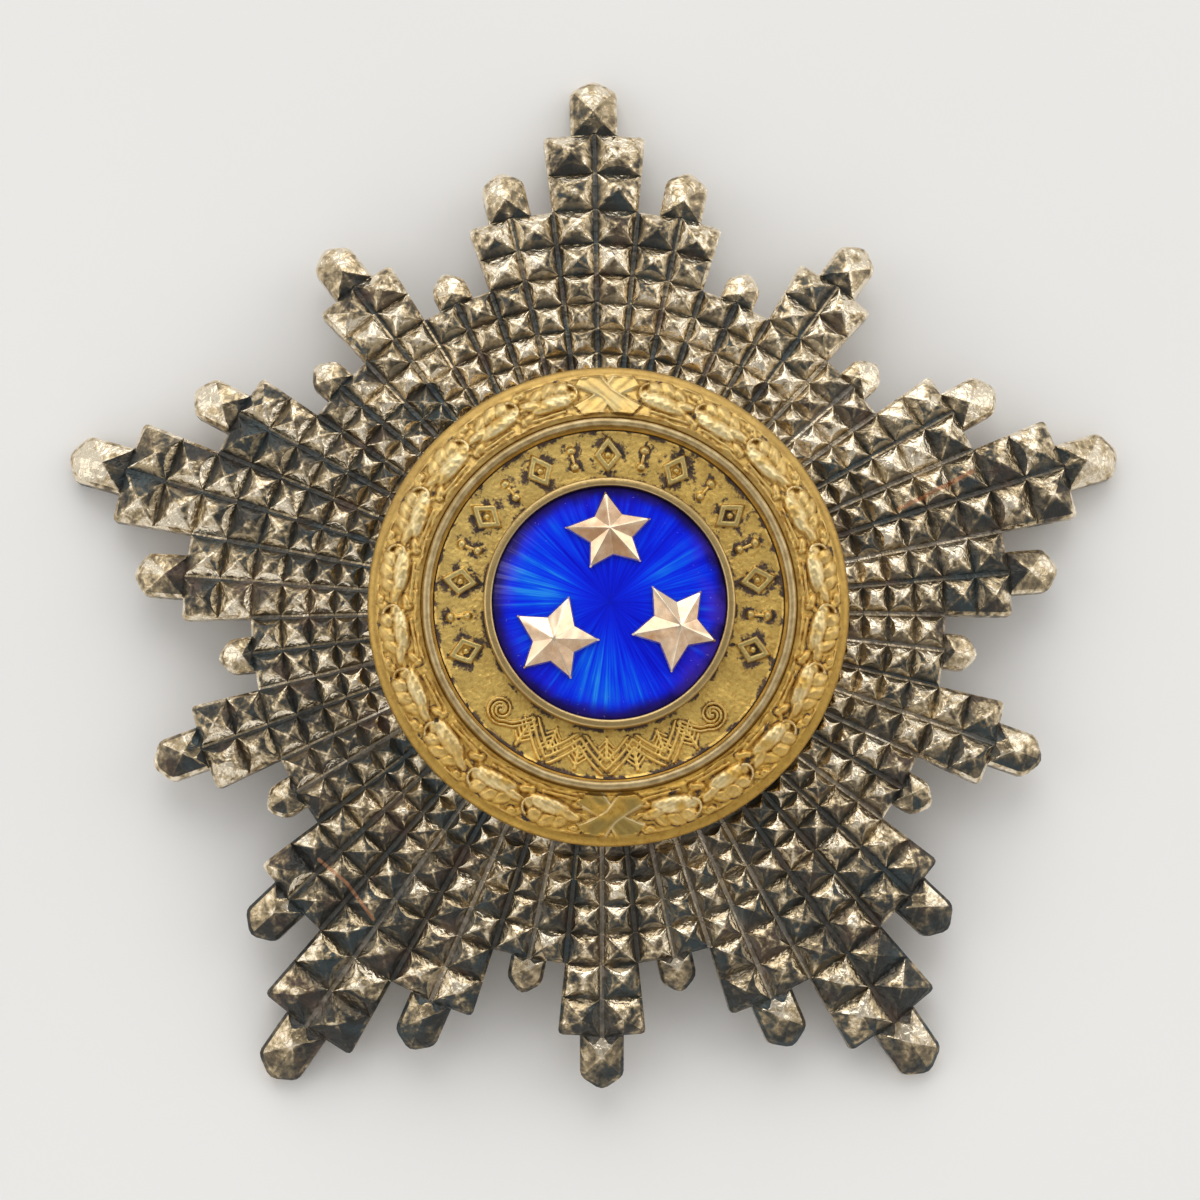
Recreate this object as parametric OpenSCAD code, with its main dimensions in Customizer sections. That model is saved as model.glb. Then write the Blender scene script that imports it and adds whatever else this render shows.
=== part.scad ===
// Breast star of an order: a domed silver star of faceted rays with a gilt,
// wreathed medallion, an enamelled centre, three gold stars and a brooch pin.
// It lies face up, resting on the undersides of its five long tips.

/* [Ray star] */
// Radius from the centre of the star to the apex of a long ray
star_r = 41; // [39:0.5:43]
// Radius at which the two facet columns of a long ray end
step_r = 36.4; // [35.5:0.1:37]
// Growth of each row of facets over the row inside it
row_growth = 1.096; // [1.09:0.002:1.1]
// Apex radius of the medium rays
medium_tip_r = 34.2; // [33.5:0.1:35]
// Apex radius of the short rays
short_tip_r = 27.9; // [27.4:0.1:28.5]
// Width of the single tip of a long ray
long_tip_w = 3.5; // [3:0.1:3.8]
// Width of the single tip of a medium ray
medium_tip_w = 3.15; // [2.8:0.05:3.4]
// Width of the single tip of a short ray
short_tip_w = 2.55; // [2.2:0.05:2.8]
// Distance from a tip's shoulders to its apex
tip_point = 1.05; // [0.8:0.05:1.3]
// Drop of the dome for each square millimetre of radius squared
dome_k = 0.0045; // [0.004:0.0001:0.005]
// Rise of a ray's axis over its sides, at the full radius
ray_camber = 0.35; // [0.2:0.05:0.5]
// Rise of a facet's peak as a share of its row's depth
facet_rise = 0.27; // [0.2:0.01:0.32]
// Thickness of the struck metal between the facets and the back
wall = 1.6; // [1.4:0.1:1.8]
// Thickness of a long ray at its apex
apex_t = 1.2; // [1:0.1:1.4]

/* [Medallion] */
// Offset of the medallion's centre to the right of the star's centre
medal_dx = 0.6; // [0:0.05:0.6]
// Offset of the medallion's centre above the star's centre
medal_dy = 0.45; // [0:0.05:0.45]
// Outer radius of the gilt wreath ring
wreath_r = 17.3; // [17:0.1:17.4]
// Radius of the centre line of the wire ring
wire_ring_r = 13.05; // [13:0.01:13.1]
// Diameter of the wire of the wire ring
wire_d = 0.66; // [0.6:0.02:0.7]
// Number of oak leaves on each branch of the wreath
leaf_count = 10; // [8:1:10]
// Length of an oak leaf
leaf_len = 3.9; // [3.4:0.1:4]
// Full width of an oak leaf
leaf_w = 1.95; // [1.6:0.05:2]
// Outer radius of the rim round the enamel
rim_r = 9; // [8.9:0.05:9.1]
// Radius of the enamel disc
enamel_r = 8.33; // [8.2:0.01:8.34]
// Rise of the enamel's centre over its edge
enamel_sag = 0.35; // [0.2:0.05:0.5]
// Number of framed lozenges on the upper part of the band
lozenge_count = 9; // [7:1:10]
// Number of chevrons on the lower part of the band
chevron_count = 7; // [5:2:7]

/* [Gold stars] */
// Mean circumradius of a gold star
gold_r = 3.18; // [3:0.02:3.3]
// Radius of a gold star's inner corners as a share of its circumradius
gold_inner = 0.53; // [0.45:0.01:0.55]
// Height of a gold star's edge
gold_edge = 0.3; // [0.2:0.05:0.4]
// Height of a gold star's peak over its edge
gold_peak = 0.85; // [0.6:0.05:1]

/* [Brooch pin] */
// Distance of the hinge block and of the catch from the star's centre
pin_reach = 20; // [18:0.5:21]
// Diameter of the pin's shaft
pin_d = 1.2; // [1:0.1:1.4]
// Height of the shaft's centre line above the resting plane
pin_z = 3.1; // [2.8:0.1:3.4]
// Width of the hinge block
hinge_w = 5; // [4:0.5:5]

/* [Hidden] */
$fn = 96;

ray_count = 30;
columns = 2 * ray_count;
column_deg = 360 / columns;
first_ray_deg = 90;
row_count = 9;
crown_z = dome_k * star_r * star_r + apex_t;
axis_y = (medium_tip_r - star_r) / 2;

// Ray kinds, with the columns: rows of facets, apex radius, tip width
ROWS = 0;
TIP_R = 1;
TIP_W = 2;
long_ray = [9, star_r, long_tip_w];
medium_ray = [7, medium_tip_r, medium_tip_w];
short_ray = [5, short_tip_r, short_tip_w];
ray_cycle = [long_ray, medium_ray, short_ray, medium_ray, short_ray, medium_ray];

// Heights of the medallion's levels
seat_rise = 0.45;
seat_z = crown_z - dome_k * pow(ring_r(0), 2) + seat_rise;
seat_gap = 0.03;
base_z = seat_z + seat_gap;
rim_edge_z = crown_z + 0.3;
bed_low_z = crown_z + 0.7;
bed_high_z = crown_z + 1.5;
ledge_z = crown_z + 1.4;
band_z = crown_z + 1.0;
enamel_edge_z = crown_z + 1.9;
rim_top_z = crown_z + 2.45;
relief_h = 0.3;

// Radii of the medallion's steps
bed_outer_r = wreath_r - 0.65;
bed_inner_r = wire_ring_r + 0.75;
ledge_outer_r = wire_ring_r + 0.4;
band_outer_r = wire_ring_r - 0.5;
part_gap = 0.05;
leaf_r = 15.35;
branch_start_deg = 8;

function ray(i) = ray_cycle[(i + ray_count) % len(ray_cycle)];
function ray_of_column(c) = floor((c + 1) / 2);
function ring_r(s) = step_r / pow(row_growth, row_count - s);
function dome_z(r) = crown_z - dome_k * r * r;
function back_z(r) = max(0, dome_z(r) - wall);
function line_deg(b) = first_ray_deg + b * column_deg;
function polar(r, a, z) = [r * cos(a), r * sin(a), z];
function mix(p, q, t) = p + (q - p) * t;
function flip(face) = [for (i = [len(face) - 1:-1:0]) face[i]];

// A corner of the facet grid on row line s and column line b. Even column
// lines are the axes of the rays and odd ones lie between two rays.
function grid_z(s, b) =
    s == 0 ? seat_z : dome_z(ring_r(s)) + (b % 2 == 0 ? ray_camber * ring_r(s) / star_r : 0);
function grid_top(s, b) = polar(ring_r(s), line_deg(b), grid_z(s, b));
function grid_back(s, b) = polar(ring_r(s), line_deg(b), back_z(ring_r(max(s, 0))));
function peak_limit(s) = s == 0 ? seat_z - 0.08 : crown_z;
function peak(s, c) =
    let (
        r = (ring_r(s) + ring_r(s + 1)) / 2,
        base = (grid_z(s, c) + grid_z(s, c + 1) + grid_z(s + 1, c) + grid_z(s + 1, c + 1)) / 4,
        rise = facet_rise * (ring_r(s + 1) - ring_r(s))
    )
    polar(r, line_deg(c + 0.5), min(base + rise, peak_limit(s)));

// A ray's tip, in the order: right foot, right shoulder, apex, left shoulder,
// left foot and peak, then the five lower corners of its outline.
function tip_foot(i, side) =
    let (
        k = ray(i),
        t = k[TIP_W] / 2 / (ring_r(k[ROWS]) * sin(column_deg))
    )
    mix(grid_top(k[ROWS], 2 * i), grid_top(k[ROWS], 2 * i + side), t);
function tip_point_at(i, r, v, z) =
    let (a = line_deg(2 * i))
    [r * cos(a) - v * sin(a), r * sin(a) + v * cos(a), z];
function plan_r(p) = norm([p[0], p[1]]);
function under(p) = [p[0], p[1], back_z(plan_r(p))];
function tip_outline(i) =
    let (
        k = ray(i),
        shoulder_r = k[TIP_R] - tip_point,
        half = k[TIP_W] / 2,
        shoulder_z = dome_z(norm([shoulder_r, half]))
    )
    [
        tip_foot(i, -1),
        tip_point_at(i, shoulder_r, -half, shoulder_z),
        tip_point_at(i, k[TIP_R], 0, dome_z(k[TIP_R])),
        tip_point_at(i, shoulder_r, half, shoulder_z),
        tip_foot(i, 1)
    ];
function tip_peak(i) =
    let (
        k = ray(i),
        inner_r = ring_r(k[ROWS]),
        outer_r = k[TIP_R] - tip_point,
        r = (inner_r + outer_r) / 2
    )
    tip_point_at(i, r, 0, dome_z(r) + facet_rise * (outer_r - inner_r));
function tip_points(i) =
    let (outline = tip_outline(i))
    concat(outline, [tip_peak(i)], [for (p = outline) under(p)]);

// Places of the points in the polyhedron's list
peak_start = (row_count + 1) * columns;
back_start = peak_start + row_count * columns;
tip_start = back_start + (row_count + 1) * columns;
tip_size = 11;
centre_top = tip_start + tip_size * ray_count;
centre_back = centre_top + 1;
function top_id(s, b) = s * columns + (b + columns) % columns;
function peak_id(s, c) = peak_start + s * columns + c;
function back_id(s, b) = back_start + s * columns + (b + columns) % columns;
function tip_id(i, k) = tip_start + ((i + ray_count) % ray_count) * tip_size + k;

star_points = concat(
    [for (s = [0:row_count]) for (b = [0:columns - 1]) grid_top(s, b)],
    [for (s = [0:row_count - 1]) for (c = [0:columns - 1]) peak(s, c)],
    [for (s = [0:row_count]) for (b = [0:columns - 1]) grid_back(s, b)],
    [for (i = [0:ray_count - 1]) each tip_points(i)],
    [[0, 0, seat_z], [0, 0, back_z(ring_r(0))]]
);

// Outline of a cell, anticlockwise from above. The outermost cell of a column
// also has the foot of the ray's tip on its outer edge.
function foot_of_column(c) = tip_id(ray_of_column(c), c % 2 == 0 ? 4 : 0);
function cell_top(s, c) =
    concat(
        [top_id(s, c), top_id(s + 1, c)],
        s + 1 == ray(ray_of_column(c))[ROWS] ? [foot_of_column(c)] : [],
        [top_id(s + 1, c + 1), top_id(s, c + 1)]
    );
function cell_back(s, c) =
    concat(
        [back_id(s, c), back_id(s + 1, c)],
        s + 1 == ray(ray_of_column(c))[ROWS] ? [foot_of_column(c) + 6] : [],
        [back_id(s + 1, c + 1), back_id(s, c + 1)]
    );
function fan(hub, loop) = [for (i = [0:len(loop) - 1]) [hub, loop[i], loop[(i + 1) % len(loop)]]];
function fan_from_first(loop) = [for (i = [1:len(loop) - 2]) [loop[0], loop[i], loop[i + 1]]];
function wall_faces(top_a, top_b, back_a, back_b) =
    [[top_a, back_a, back_b], [top_a, back_b, top_b]];
function tip_loop(i) = concat([top_id(ray(i)[ROWS], 2 * i)], [for (k = [0:4]) tip_id(i, k)]);
// The underside of a tip: a bridge from the back to the shoulders, and a flat
// triangle under the apex, which is what a long ray stands on.
function tip_back(i) =
    let (root = back_id(ray(i)[ROWS], 2 * i))
    [
        [root, tip_id(i, 6), tip_id(i, 7)],
        [root, tip_id(i, 7), tip_id(i, 9)],
        [root, tip_id(i, 9), tip_id(i, 10)],
        [tip_id(i, 7), tip_id(i, 8), tip_id(i, 9)]
    ];
function side_faces(b, s_from, s_to) =
    s_from < s_to
        ? [for (s = [s_from:s_to - 1])
            each wall_faces(top_id(s, b), top_id(s + 1, b), back_id(s, b), back_id(s + 1, b))]
        : s_from > s_to
            ? [for (s = [s_to:s_from - 1])
                each wall_faces(top_id(s + 1, b), top_id(s, b), back_id(s + 1, b), back_id(s, b))]
            : [];
function ray_walls(i) =
    let (rows = ray(i)[ROWS])
    concat(
        side_faces(2 * i - 1, min(rows, ray(i - 1)[ROWS]), rows),
        wall_faces(top_id(rows, 2 * i - 1), tip_id(i, 0), back_id(rows, 2 * i - 1), tip_id(i, 6)),
        [for (k = [0:3]) each wall_faces(tip_id(i, k), tip_id(i, k + 1), tip_id(i, k + 6), tip_id(i, k + 7))],
        wall_faces(tip_id(i, 4), top_id(rows, 2 * i + 1), tip_id(i, 10), back_id(rows, 2 * i + 1)),
        side_faces(2 * i + 1, rows, min(rows, ray(i + 1)[ROWS]))
    );
star_faces = concat(
    [for (c = [0:columns - 1]) for (s = [0:ray(ray_of_column(c))[ROWS] - 1])
        each fan(peak_id(s, c), cell_top(s, c))],
    [for (c = [0:columns - 1]) for (s = [0:ray(ray_of_column(c))[ROWS] - 1])
        for (f = fan_from_first(cell_back(s, c))) flip(f)],
    [for (i = [0:ray_count - 1]) each fan(tip_id(i, 5), tip_loop(i))],
    [for (i = [0:ray_count - 1]) for (f = tip_back(i)) flip(f)],
    [for (i = [0:ray_count - 1]) each ray_walls(i)],
    [for (c = [0:columns - 1]) [centre_top, top_id(0, c), top_id(0, c + 1)]],
    [for (c = [0:columns - 1]) [centre_back, back_id(0, c + 1), back_id(0, c)]]
);

// Half width of an oak leaf along its length, with the columns: along, half width
leaf_lobes = [
    [0.02, 0.10], [0.16, 0.36], [0.27, 0.24], [0.43, 0.48],
    [0.55, 0.30], [0.70, 0.42], [0.82, 0.24], [0.97, 0.10]
];
leaf_sink = 0.55;
leaf_edge_h = 0.28;
leaf_vein_h = 0.62;
bed_slope_deg = atan((bed_high_z - bed_low_z) / (bed_outer_r - bed_inner_r));
function bed_z(r) = bed_low_z + (bed_outer_r - r) * tan(bed_slope_deg);
leaf_points = [
    for (row = leaf_lobes)
        let (x = (row[0] - 0.5) * leaf_len, y = row[1] * leaf_w)
        each [
            [x, -y, -leaf_sink],
            [x, -y, leaf_edge_h * (1 - 0.5 * abs(row[0] - 0.45))],
            [x, 0, leaf_vein_h * (1 - 0.7 * pow(row[0] - 0.45, 2) * 2)],
            [x, y, leaf_edge_h * (1 - 0.5 * abs(row[0] - 0.45))],
            [x, y, -leaf_sink]
        ]
];
leaf_ring = 5;
leaf_rows = len(leaf_lobes);
leaf_faces = concat(
    [for (n = [0:leaf_rows - 2]) for (k = [0:leaf_ring - 1])
        let (
            a = n * leaf_ring + k,
            b = n * leaf_ring + (k + 1) % leaf_ring
        )
        each [[a, a + leaf_ring, b + leaf_ring], [a, b + leaf_ring, b]]],
    fan_from_first([4, 3, 2, 1, 0]),
    fan_from_first([for (k = [0:leaf_ring - 1]) (leaf_rows - 1) * leaf_ring + k])
);

module star_frame() {
    translate([0, axis_y, 0]) children();
}

module medal_frame() {
    translate([medal_dx, axis_y + medal_dy, 0]) children();
}

module ray_star() {
    color("dimgray") star_frame()
        polyhedron(points = star_points, faces = [for (f = star_faces) flip(f)]);
}

module on_bed(r, a, turn) {
    rotate([0, 0, a]) translate([r, 0, bed_z(r)])
        rotate([0, 0, 90]) rotate([bed_slope_deg, 0, 0]) rotate([0, 0, turn]) children();
}

module oak_leaf() {
    polyhedron(points = leaf_points, faces = [for (f = leaf_faces) flip(f)]);
}

module branch(side) {
    span = 180 - 2 * branch_start_deg;
    for (n = [0:leaf_count - 1]) {
        a = 270 + side * (branch_start_deg + span * (n + 0.5) / leaf_count);
        on_bed(leaf_r, a, side > 0 ? 8 : 172) oak_leaf();
    }
}

module ribbon_tie(a) {
    for (turn = [-38, 38])
        on_bed((bed_inner_r + bed_outer_r) / 2, a, turn)
            translate([-2, -0.5, -leaf_sink]) cube([4, 1, leaf_sink + (turn > 0 ? 0.5 : 0.4)]);
}

module wreath_base() {
    rotate_extrude() polygon([
        [band_outer_r + part_gap, base_z],
        [wreath_r, base_z],
        [wreath_r, rim_edge_z],
        [wreath_r - 0.25, rim_edge_z + 0.3],
        [bed_outer_r, bed_low_z],
        [bed_inner_r, bed_high_z],
        [ledge_outer_r, bed_high_z],
        [ledge_outer_r, ledge_z],
        [band_outer_r + part_gap, ledge_z]
    ]);
}

module wreath_ring() {
    color("goldenrod") medal_frame() {
        wreath_base();
        branch(1);
        branch(-1);
        ribbon_tie(90);
        ribbon_tie(270);
    }
}

module wire_ring() {
    color("darkgray") medal_frame()
        translate([0, 0, ledge_z + seat_gap + wire_d / 2])
            rotate_extrude() translate([wire_ring_r, 0]) circle(d = wire_d, $fn = 24);
}

module on_band(r, a) {
    rotate([0, 0, a]) translate([r, 0, band_z - relief_h]) children();
}

module lozenge() {
    outer = [[-1.3, 0], [0, -1], [1.3, 0], [0, 1]];
    linear_extrude(2 * relief_h) difference() {
        polygon(outer);
        polygon(outer * 0.6);
    }
    linear_extrude(2 * relief_h) circle(r = 0.3, $fn = 24);
}

module pellet_pair() {
    for (r = [-0.62, 0.62])
        translate([r, 0]) linear_extrude(1.8 * relief_h) circle(r = 0.3, $fn = 24);
}

module chevron() {
    linear_extrude(2 * relief_h) polygon([
        [-1.2, -0.95], [-1.2, -0.68], [0.85, 0], [-1.2, 0.68], [-1.2, 0.95], [1.35, 0.14], [1.35, -0.14]
    ]);
}

// The curl at an end of the chevrons: its middle line from the last chevron to
// the curl's eye, with the columns: outward, along the band away from the chevrons
scroll_line = [
    [-0.9, -2.3], [0.1, -1.5], [0.7, -0.7], [0.85, 0], [0.6, 0.6],
    [0, 0.85], [-0.6, 0.55], [-0.75, -0.05], [-0.45, -0.5], [0.05, -0.5]
];
scroll_half_w = 0.17;
function scroll_way(k) =
    let (run = scroll_line[min(k + 1, len(scroll_line) - 1)] - scroll_line[max(k - 1, 0)])
    run / norm(run);
function scroll_side(side) = [
    for (k = [0:len(scroll_line) - 1])
        let (way = scroll_way(k))
        scroll_line[k] + side * scroll_half_w * [-way[1], way[0]]
];

module scroll_end(away) {
    outline = concat(scroll_side(1), flip(scroll_side(-1)));
    linear_extrude(1.9 * relief_h) polygon([for (p = outline) [p[0], away * p[1]]]);
}

module centre_band() {
    band_mid_r = (rim_r + band_outer_r) / 2;
    figures_from = -18;
    figures_to = 198;
    figure_step = (figures_to - figures_from) / (lozenge_count - 1);
    chevron_from = 237;
    chevron_to = 300;
    color("darkkhaki") medal_frame() {
        translate([0, 0, base_z]) cylinder(r = band_outer_r, h = band_z - base_z);
        for (n = [0:lozenge_count - 1])
            on_band(band_mid_r, figures_from + n * figure_step) lozenge();
        for (n = [0:lozenge_count - 2])
            on_band(band_mid_r, figures_from + (n + 0.5) * figure_step) pellet_pair();
        for (n = [0:chevron_count - 1])
            on_band(band_mid_r, chevron_from + (chevron_to - chevron_from) * n / (chevron_count - 1))
                rotate([0, 0, n % 2 == 0 ? 180 : 0]) chevron();
        on_band(band_mid_r, 224) scroll_end(-1);
        on_band(band_mid_r, 312.5) scroll_end(1);
    }
}

module enamel_rim() {
    color("tan") medal_frame() translate([0, 0, band_z + seat_gap]) rotate_extrude() polygon([
        [enamel_r + part_gap, 0],
        [rim_r, 0],
        [rim_r, rim_top_z - band_z - 0.18],
        [rim_r - 0.16, rim_top_z - band_z],
        [enamel_r + part_gap + 0.12, rim_top_z - band_z],
        [enamel_r + part_gap, rim_top_z - band_z - 0.12]
    ]);
}

dome_r = (enamel_r * enamel_r + enamel_sag * enamel_sag) / (2 * enamel_sag);
dome_centre_z = enamel_edge_z + enamel_sag - dome_r;
function enamel_z(r) = dome_centre_z + sqrt(dome_r * dome_r - r * r);

module enamel_disc() {
    floor_z = band_z + seat_gap;
    color("blue") medal_frame() rotate_extrude() polygon(concat(
        [[0, floor_z], [enamel_r, floor_z]],
        [for (n = [8:-1:0]) let (r = enamel_r * n / 8) [r, enamel_z(r)]]
    ));
}

// Tips of the hand-cut gold stars, with the columns: length as a share of
// gold_r, turn from an even fifth of a circle
TIP_SHARE = 0;
TIP_TURN = 1;
top_tips = [[0.97, 0], [1.06, 4], [0.94, -2], [0.96, 3], [0.98, -5]];
left_tips = [[1.04, -2], [1.04, 1], [0.98, 3], [0.96, 1], [1.01, -3]];
right_tips = [[0.98, 3], [1.05, -1], [1.04, -2], [1.09, -2], [0.98, 0]];

// A gold star's corner. The even ones are tips, and each inner one is shared
// by the tips beside it.
function gold_corner(tips, first_deg, n) =
    let (
        before = tips[floor(n / 2)],
        after = tips[ceil(n / 2) % len(tips)],
        share = (before[TIP_SHARE] + after[TIP_SHARE]) / 2,
        turn = (before[TIP_TURN] + after[TIP_TURN]) / 2
    )
    polar(gold_r * share * (n % 2 == 0 ? 1 : gold_inner), first_deg + 36 * n + turn, 0);

// A five-pointed star on the enamel, at a polar place, with its first tip's
// direction and the shift of its peak from its middle.
module gold_star(place_r, place_deg, first_deg, peak_dx, peak_dy, tips) {
    mid = polar(place_r, place_deg, 0);
    corners = [for (n = [0:9]) mid + gold_corner(tips, first_deg, n)];
    seats = [for (p = corners) [p[0], p[1], enamel_z(norm(p)) + seat_gap]];
    edges = [for (p = seats) p + [0, 0, gold_edge]];
    mid_z = enamel_z(place_r) + seat_gap;
    tops = [mid + [peak_dx, peak_dy, mid_z + gold_edge + gold_peak], mid + [0, 0, mid_z]];
    faces = [
        for (n = [0:9])
            let (m = (n + 1) % 10)
            each [
                [20, 10 + n, 10 + m],
                [21, m, n],
                [10 + n, n, m],
                [10 + n, m, 10 + m]
            ]
    ];
    color("wheat") medal_frame()
        polyhedron(points = concat(seats, edges, tops), faces = [for (f = faces) flip(f)]);
}

module gold_star_top() {
    gold_star(4.96, 88.7, 96.8, -0.07, 0.28, top_tips);
}

module gold_star_left() {
    gold_star(4.71, 214.6, 74.3, -0.16, -0.02, left_tips);
}

module gold_star_right() {
    gold_star(4.99, 340.5, 50.1, 0.35, -0.13, right_tips);
}

module pin_block(y_from, y_to, z_low, width) {
    rotate([90, 0, 90]) translate([0, 0, -width / 2]) linear_extrude(width) polygon([
        [y_from, z_low],
        [y_to, z_low],
        [y_to, back_z(abs(y_to)) - 2 * seat_gap],
        [y_from, back_z(abs(y_from)) - 2 * seat_gap]
    ]);
}

module pin_barrel(y, length, r) {
    translate([0, y, pin_z]) rotate([-90, 0, 0]) cylinder(r = r, h = length, $fn = 32);
}

module brooch_pin() {
    knuckle_r = pin_d / 2 + 0.55;
    color("gray") star_frame() {
        pin_block(pin_reach - 2, pin_reach + 2, pin_z - pin_d / 2, hinge_w);
        pin_block(-pin_reach - 1.2, -pin_reach + 1.2, pin_z, 2.4);
        pin_barrel(-pin_reach - 1.2, 2.4, knuckle_r);
        pin_barrel(-pin_reach - 3, 2 * pin_reach + 3, pin_d / 2);
    }
}

ray_star();
wreath_ring();
wire_ring();
centre_band();
enamel_rim();
enamel_disc();
gold_star_top();
gold_star_left();
gold_star_right();
brooch_pin();
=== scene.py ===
"""Looks of the breast star: detailed metal, enamel, light and camera, built on
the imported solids' frame. Lengths are in millimetres unless a name says metres."""

import math
import random

import bpy
import numpy as np
from mathutils import Matrix, Vector, noise


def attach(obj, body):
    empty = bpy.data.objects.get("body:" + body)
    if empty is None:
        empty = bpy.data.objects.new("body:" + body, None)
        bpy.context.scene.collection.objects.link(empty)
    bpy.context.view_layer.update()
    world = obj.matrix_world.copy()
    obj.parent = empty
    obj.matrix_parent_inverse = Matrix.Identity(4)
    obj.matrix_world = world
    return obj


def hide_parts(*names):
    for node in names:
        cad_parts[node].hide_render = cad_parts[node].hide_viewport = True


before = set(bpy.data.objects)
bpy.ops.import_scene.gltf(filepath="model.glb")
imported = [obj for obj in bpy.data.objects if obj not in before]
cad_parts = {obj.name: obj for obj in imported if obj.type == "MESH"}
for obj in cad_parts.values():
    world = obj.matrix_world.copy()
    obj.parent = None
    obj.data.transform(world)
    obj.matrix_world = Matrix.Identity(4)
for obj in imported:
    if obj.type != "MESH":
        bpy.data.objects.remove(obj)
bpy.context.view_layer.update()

MM = 0.001

# The construction's own sizes, as in part.scad
STAR_R = 41.0
STEP_R = 36.4
ROW_GROWTH = 1.096
ROW_COUNT = 9
TIP_POINT = 1.05
DOME_K = 0.0045
RAY_CAMBER = 0.35
FACET_RISE = 0.27
WALL = 1.6
CROWN_Z = DOME_K * STAR_R**2 + 1.2
RAY_COUNT = 30
COLUMNS = 60
LONG_RAY = {"rows": 9, "tip_r": STAR_R, "tip_w": 3.5}
MEDIUM_RAY = {"rows": 7, "tip_r": 34.2, "tip_w": 3.15}
SHORT_RAY = {"rows": 5, "tip_r": 27.9, "tip_w": 2.55}
RAY_CYCLE = [LONG_RAY, MEDIUM_RAY, SHORT_RAY, MEDIUM_RAY, SHORT_RAY, MEDIUM_RAY]
AXIS_Y = (MEDIUM_RAY["tip_r"] - STAR_R) / 2
AXIS = Vector((0, AXIS_Y, 0))
MEDAL = Vector((0.6, AXIS_Y + 0.45, 0))

WREATH_R = 17.3
WIRE_R, WIRE_D = 13.05, 0.66
RIM_R = 9.0
ENAMEL_R, ENAMEL_SAG = 8.33, 0.35
BED_OUTER_R, BED_INNER_R = WREATH_R - 0.65, WIRE_R + 0.75
LEDGE_R = WIRE_R + 0.4
BAND_R = WIRE_R - 0.5
PART_GAP = 0.05
SEAT_GAP = 0.03
BASE_Z = CROWN_Z - DOME_K * (STEP_R / ROW_GROWTH**ROW_COUNT) ** 2 + 0.45 + SEAT_GAP
SEAT_Z = BASE_Z - SEAT_GAP
BED_LOW_Z, BED_HIGH_Z = CROWN_Z + 0.7, CROWN_Z + 1.5
LEDGE_Z = CROWN_Z + 1.4
BAND_Z = CROWN_Z + 1.0
ENAMEL_EDGE_Z = CROWN_Z + 1.9
RIM_TOP_Z = CROWN_Z + 2.45
GOLD_R, GOLD_INNER, GOLD_EDGE, GOLD_PEAK = 3.18, 0.53, 0.3, 0.85
PIN_REACH, PIN_D, PIN_Z, HINGE_W = 20.0, 1.2, 3.1, 5.0


def table(columns, *lines):
    """A small table: one record for each line, under the columns' names."""
    return [dict(zip(columns.split(), line)) for line in lines]


def cos_deg(deg):
    return math.cos(math.radians(deg))


def sin_deg(deg):
    return math.sin(math.radians(deg))


def polar(r, deg, z=0.0):
    return Vector((r * cos_deg(deg), r * sin_deg(deg), z))


def turn_from(middle, deg):
    """The turn from one direction to another, from -180 to 180 degrees."""
    return (deg - middle + 180) % 360 - 180


def share_of(x):
    """A number kept between 0 and 1."""
    return np.clip(x, 0, 1)


def bell(x):
    """1 where x is 0, and less the farther it is from 0."""
    return np.exp(-(x**2))


def round_steps(steps):
    """Angles right round, one for each column of a grid."""
    return np.linspace(0, 2 * math.pi, steps, endpoint=False)[None, :]


# Materials
class Nodes:
    """A node tree under construction."""

    def __init__(self, tree):
        self.tree = tree

    def put(self, value, socket):
        if isinstance(value, bpy.types.NodeSocket):
            self.tree.links.new(value, socket)
        elif value is not None:
            socket.default_value = value

    def node(self, kind, *inputs, **settings):
        made = self.tree.nodes.new("ShaderNode" + kind)
        for key, value in settings.items():
            setattr(made, key, value)
        for value, socket in zip(inputs, made.inputs):
            self.put(value, socket)
        return made

    def math(self, operation, *values, clamp=False):
        return self.node("Math", *values, operation=operation, use_clamp=clamp).outputs[0]

    def add(self, a, b, clamp=False):
        return self.math("ADD", a, b, clamp=clamp)

    def times(self, a, b, clamp=False):
        return self.math("MULTIPLY", a, b, clamp=clamp)

    def scaled(self, value, gain, base, clamp=False):
        """The value times the gain, plus the base."""
        return self.math("MULTIPLY_ADD", value, gain, base, clamp=clamp)

    def centred(self, value):
        """A value of 0 to 1 as one of -0.5 to 0.5."""
        return self.math("SUBTRACT", value, 0.5)

    def vector(self, operation, a, b=None, scale=None):
        made = self.node("VectorMath", a, b, operation=operation)
        if scale is not None:
            self.put(scale, made.inputs["Scale"])
        return made.outputs[1 if operation in ("LENGTH", "DISTANCE", "DOT_PRODUCT") else 0]

    def level(self, value, low, high, to_low=0.0, to_high=1.0):
        """A smooth step from to_low, where the value is low, to to_high."""
        spans = (low, high, to_low, to_high)
        return self.node("MapRange", value, *spans, interpolation_type="SMOOTHSTEP").outputs[0]


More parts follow.
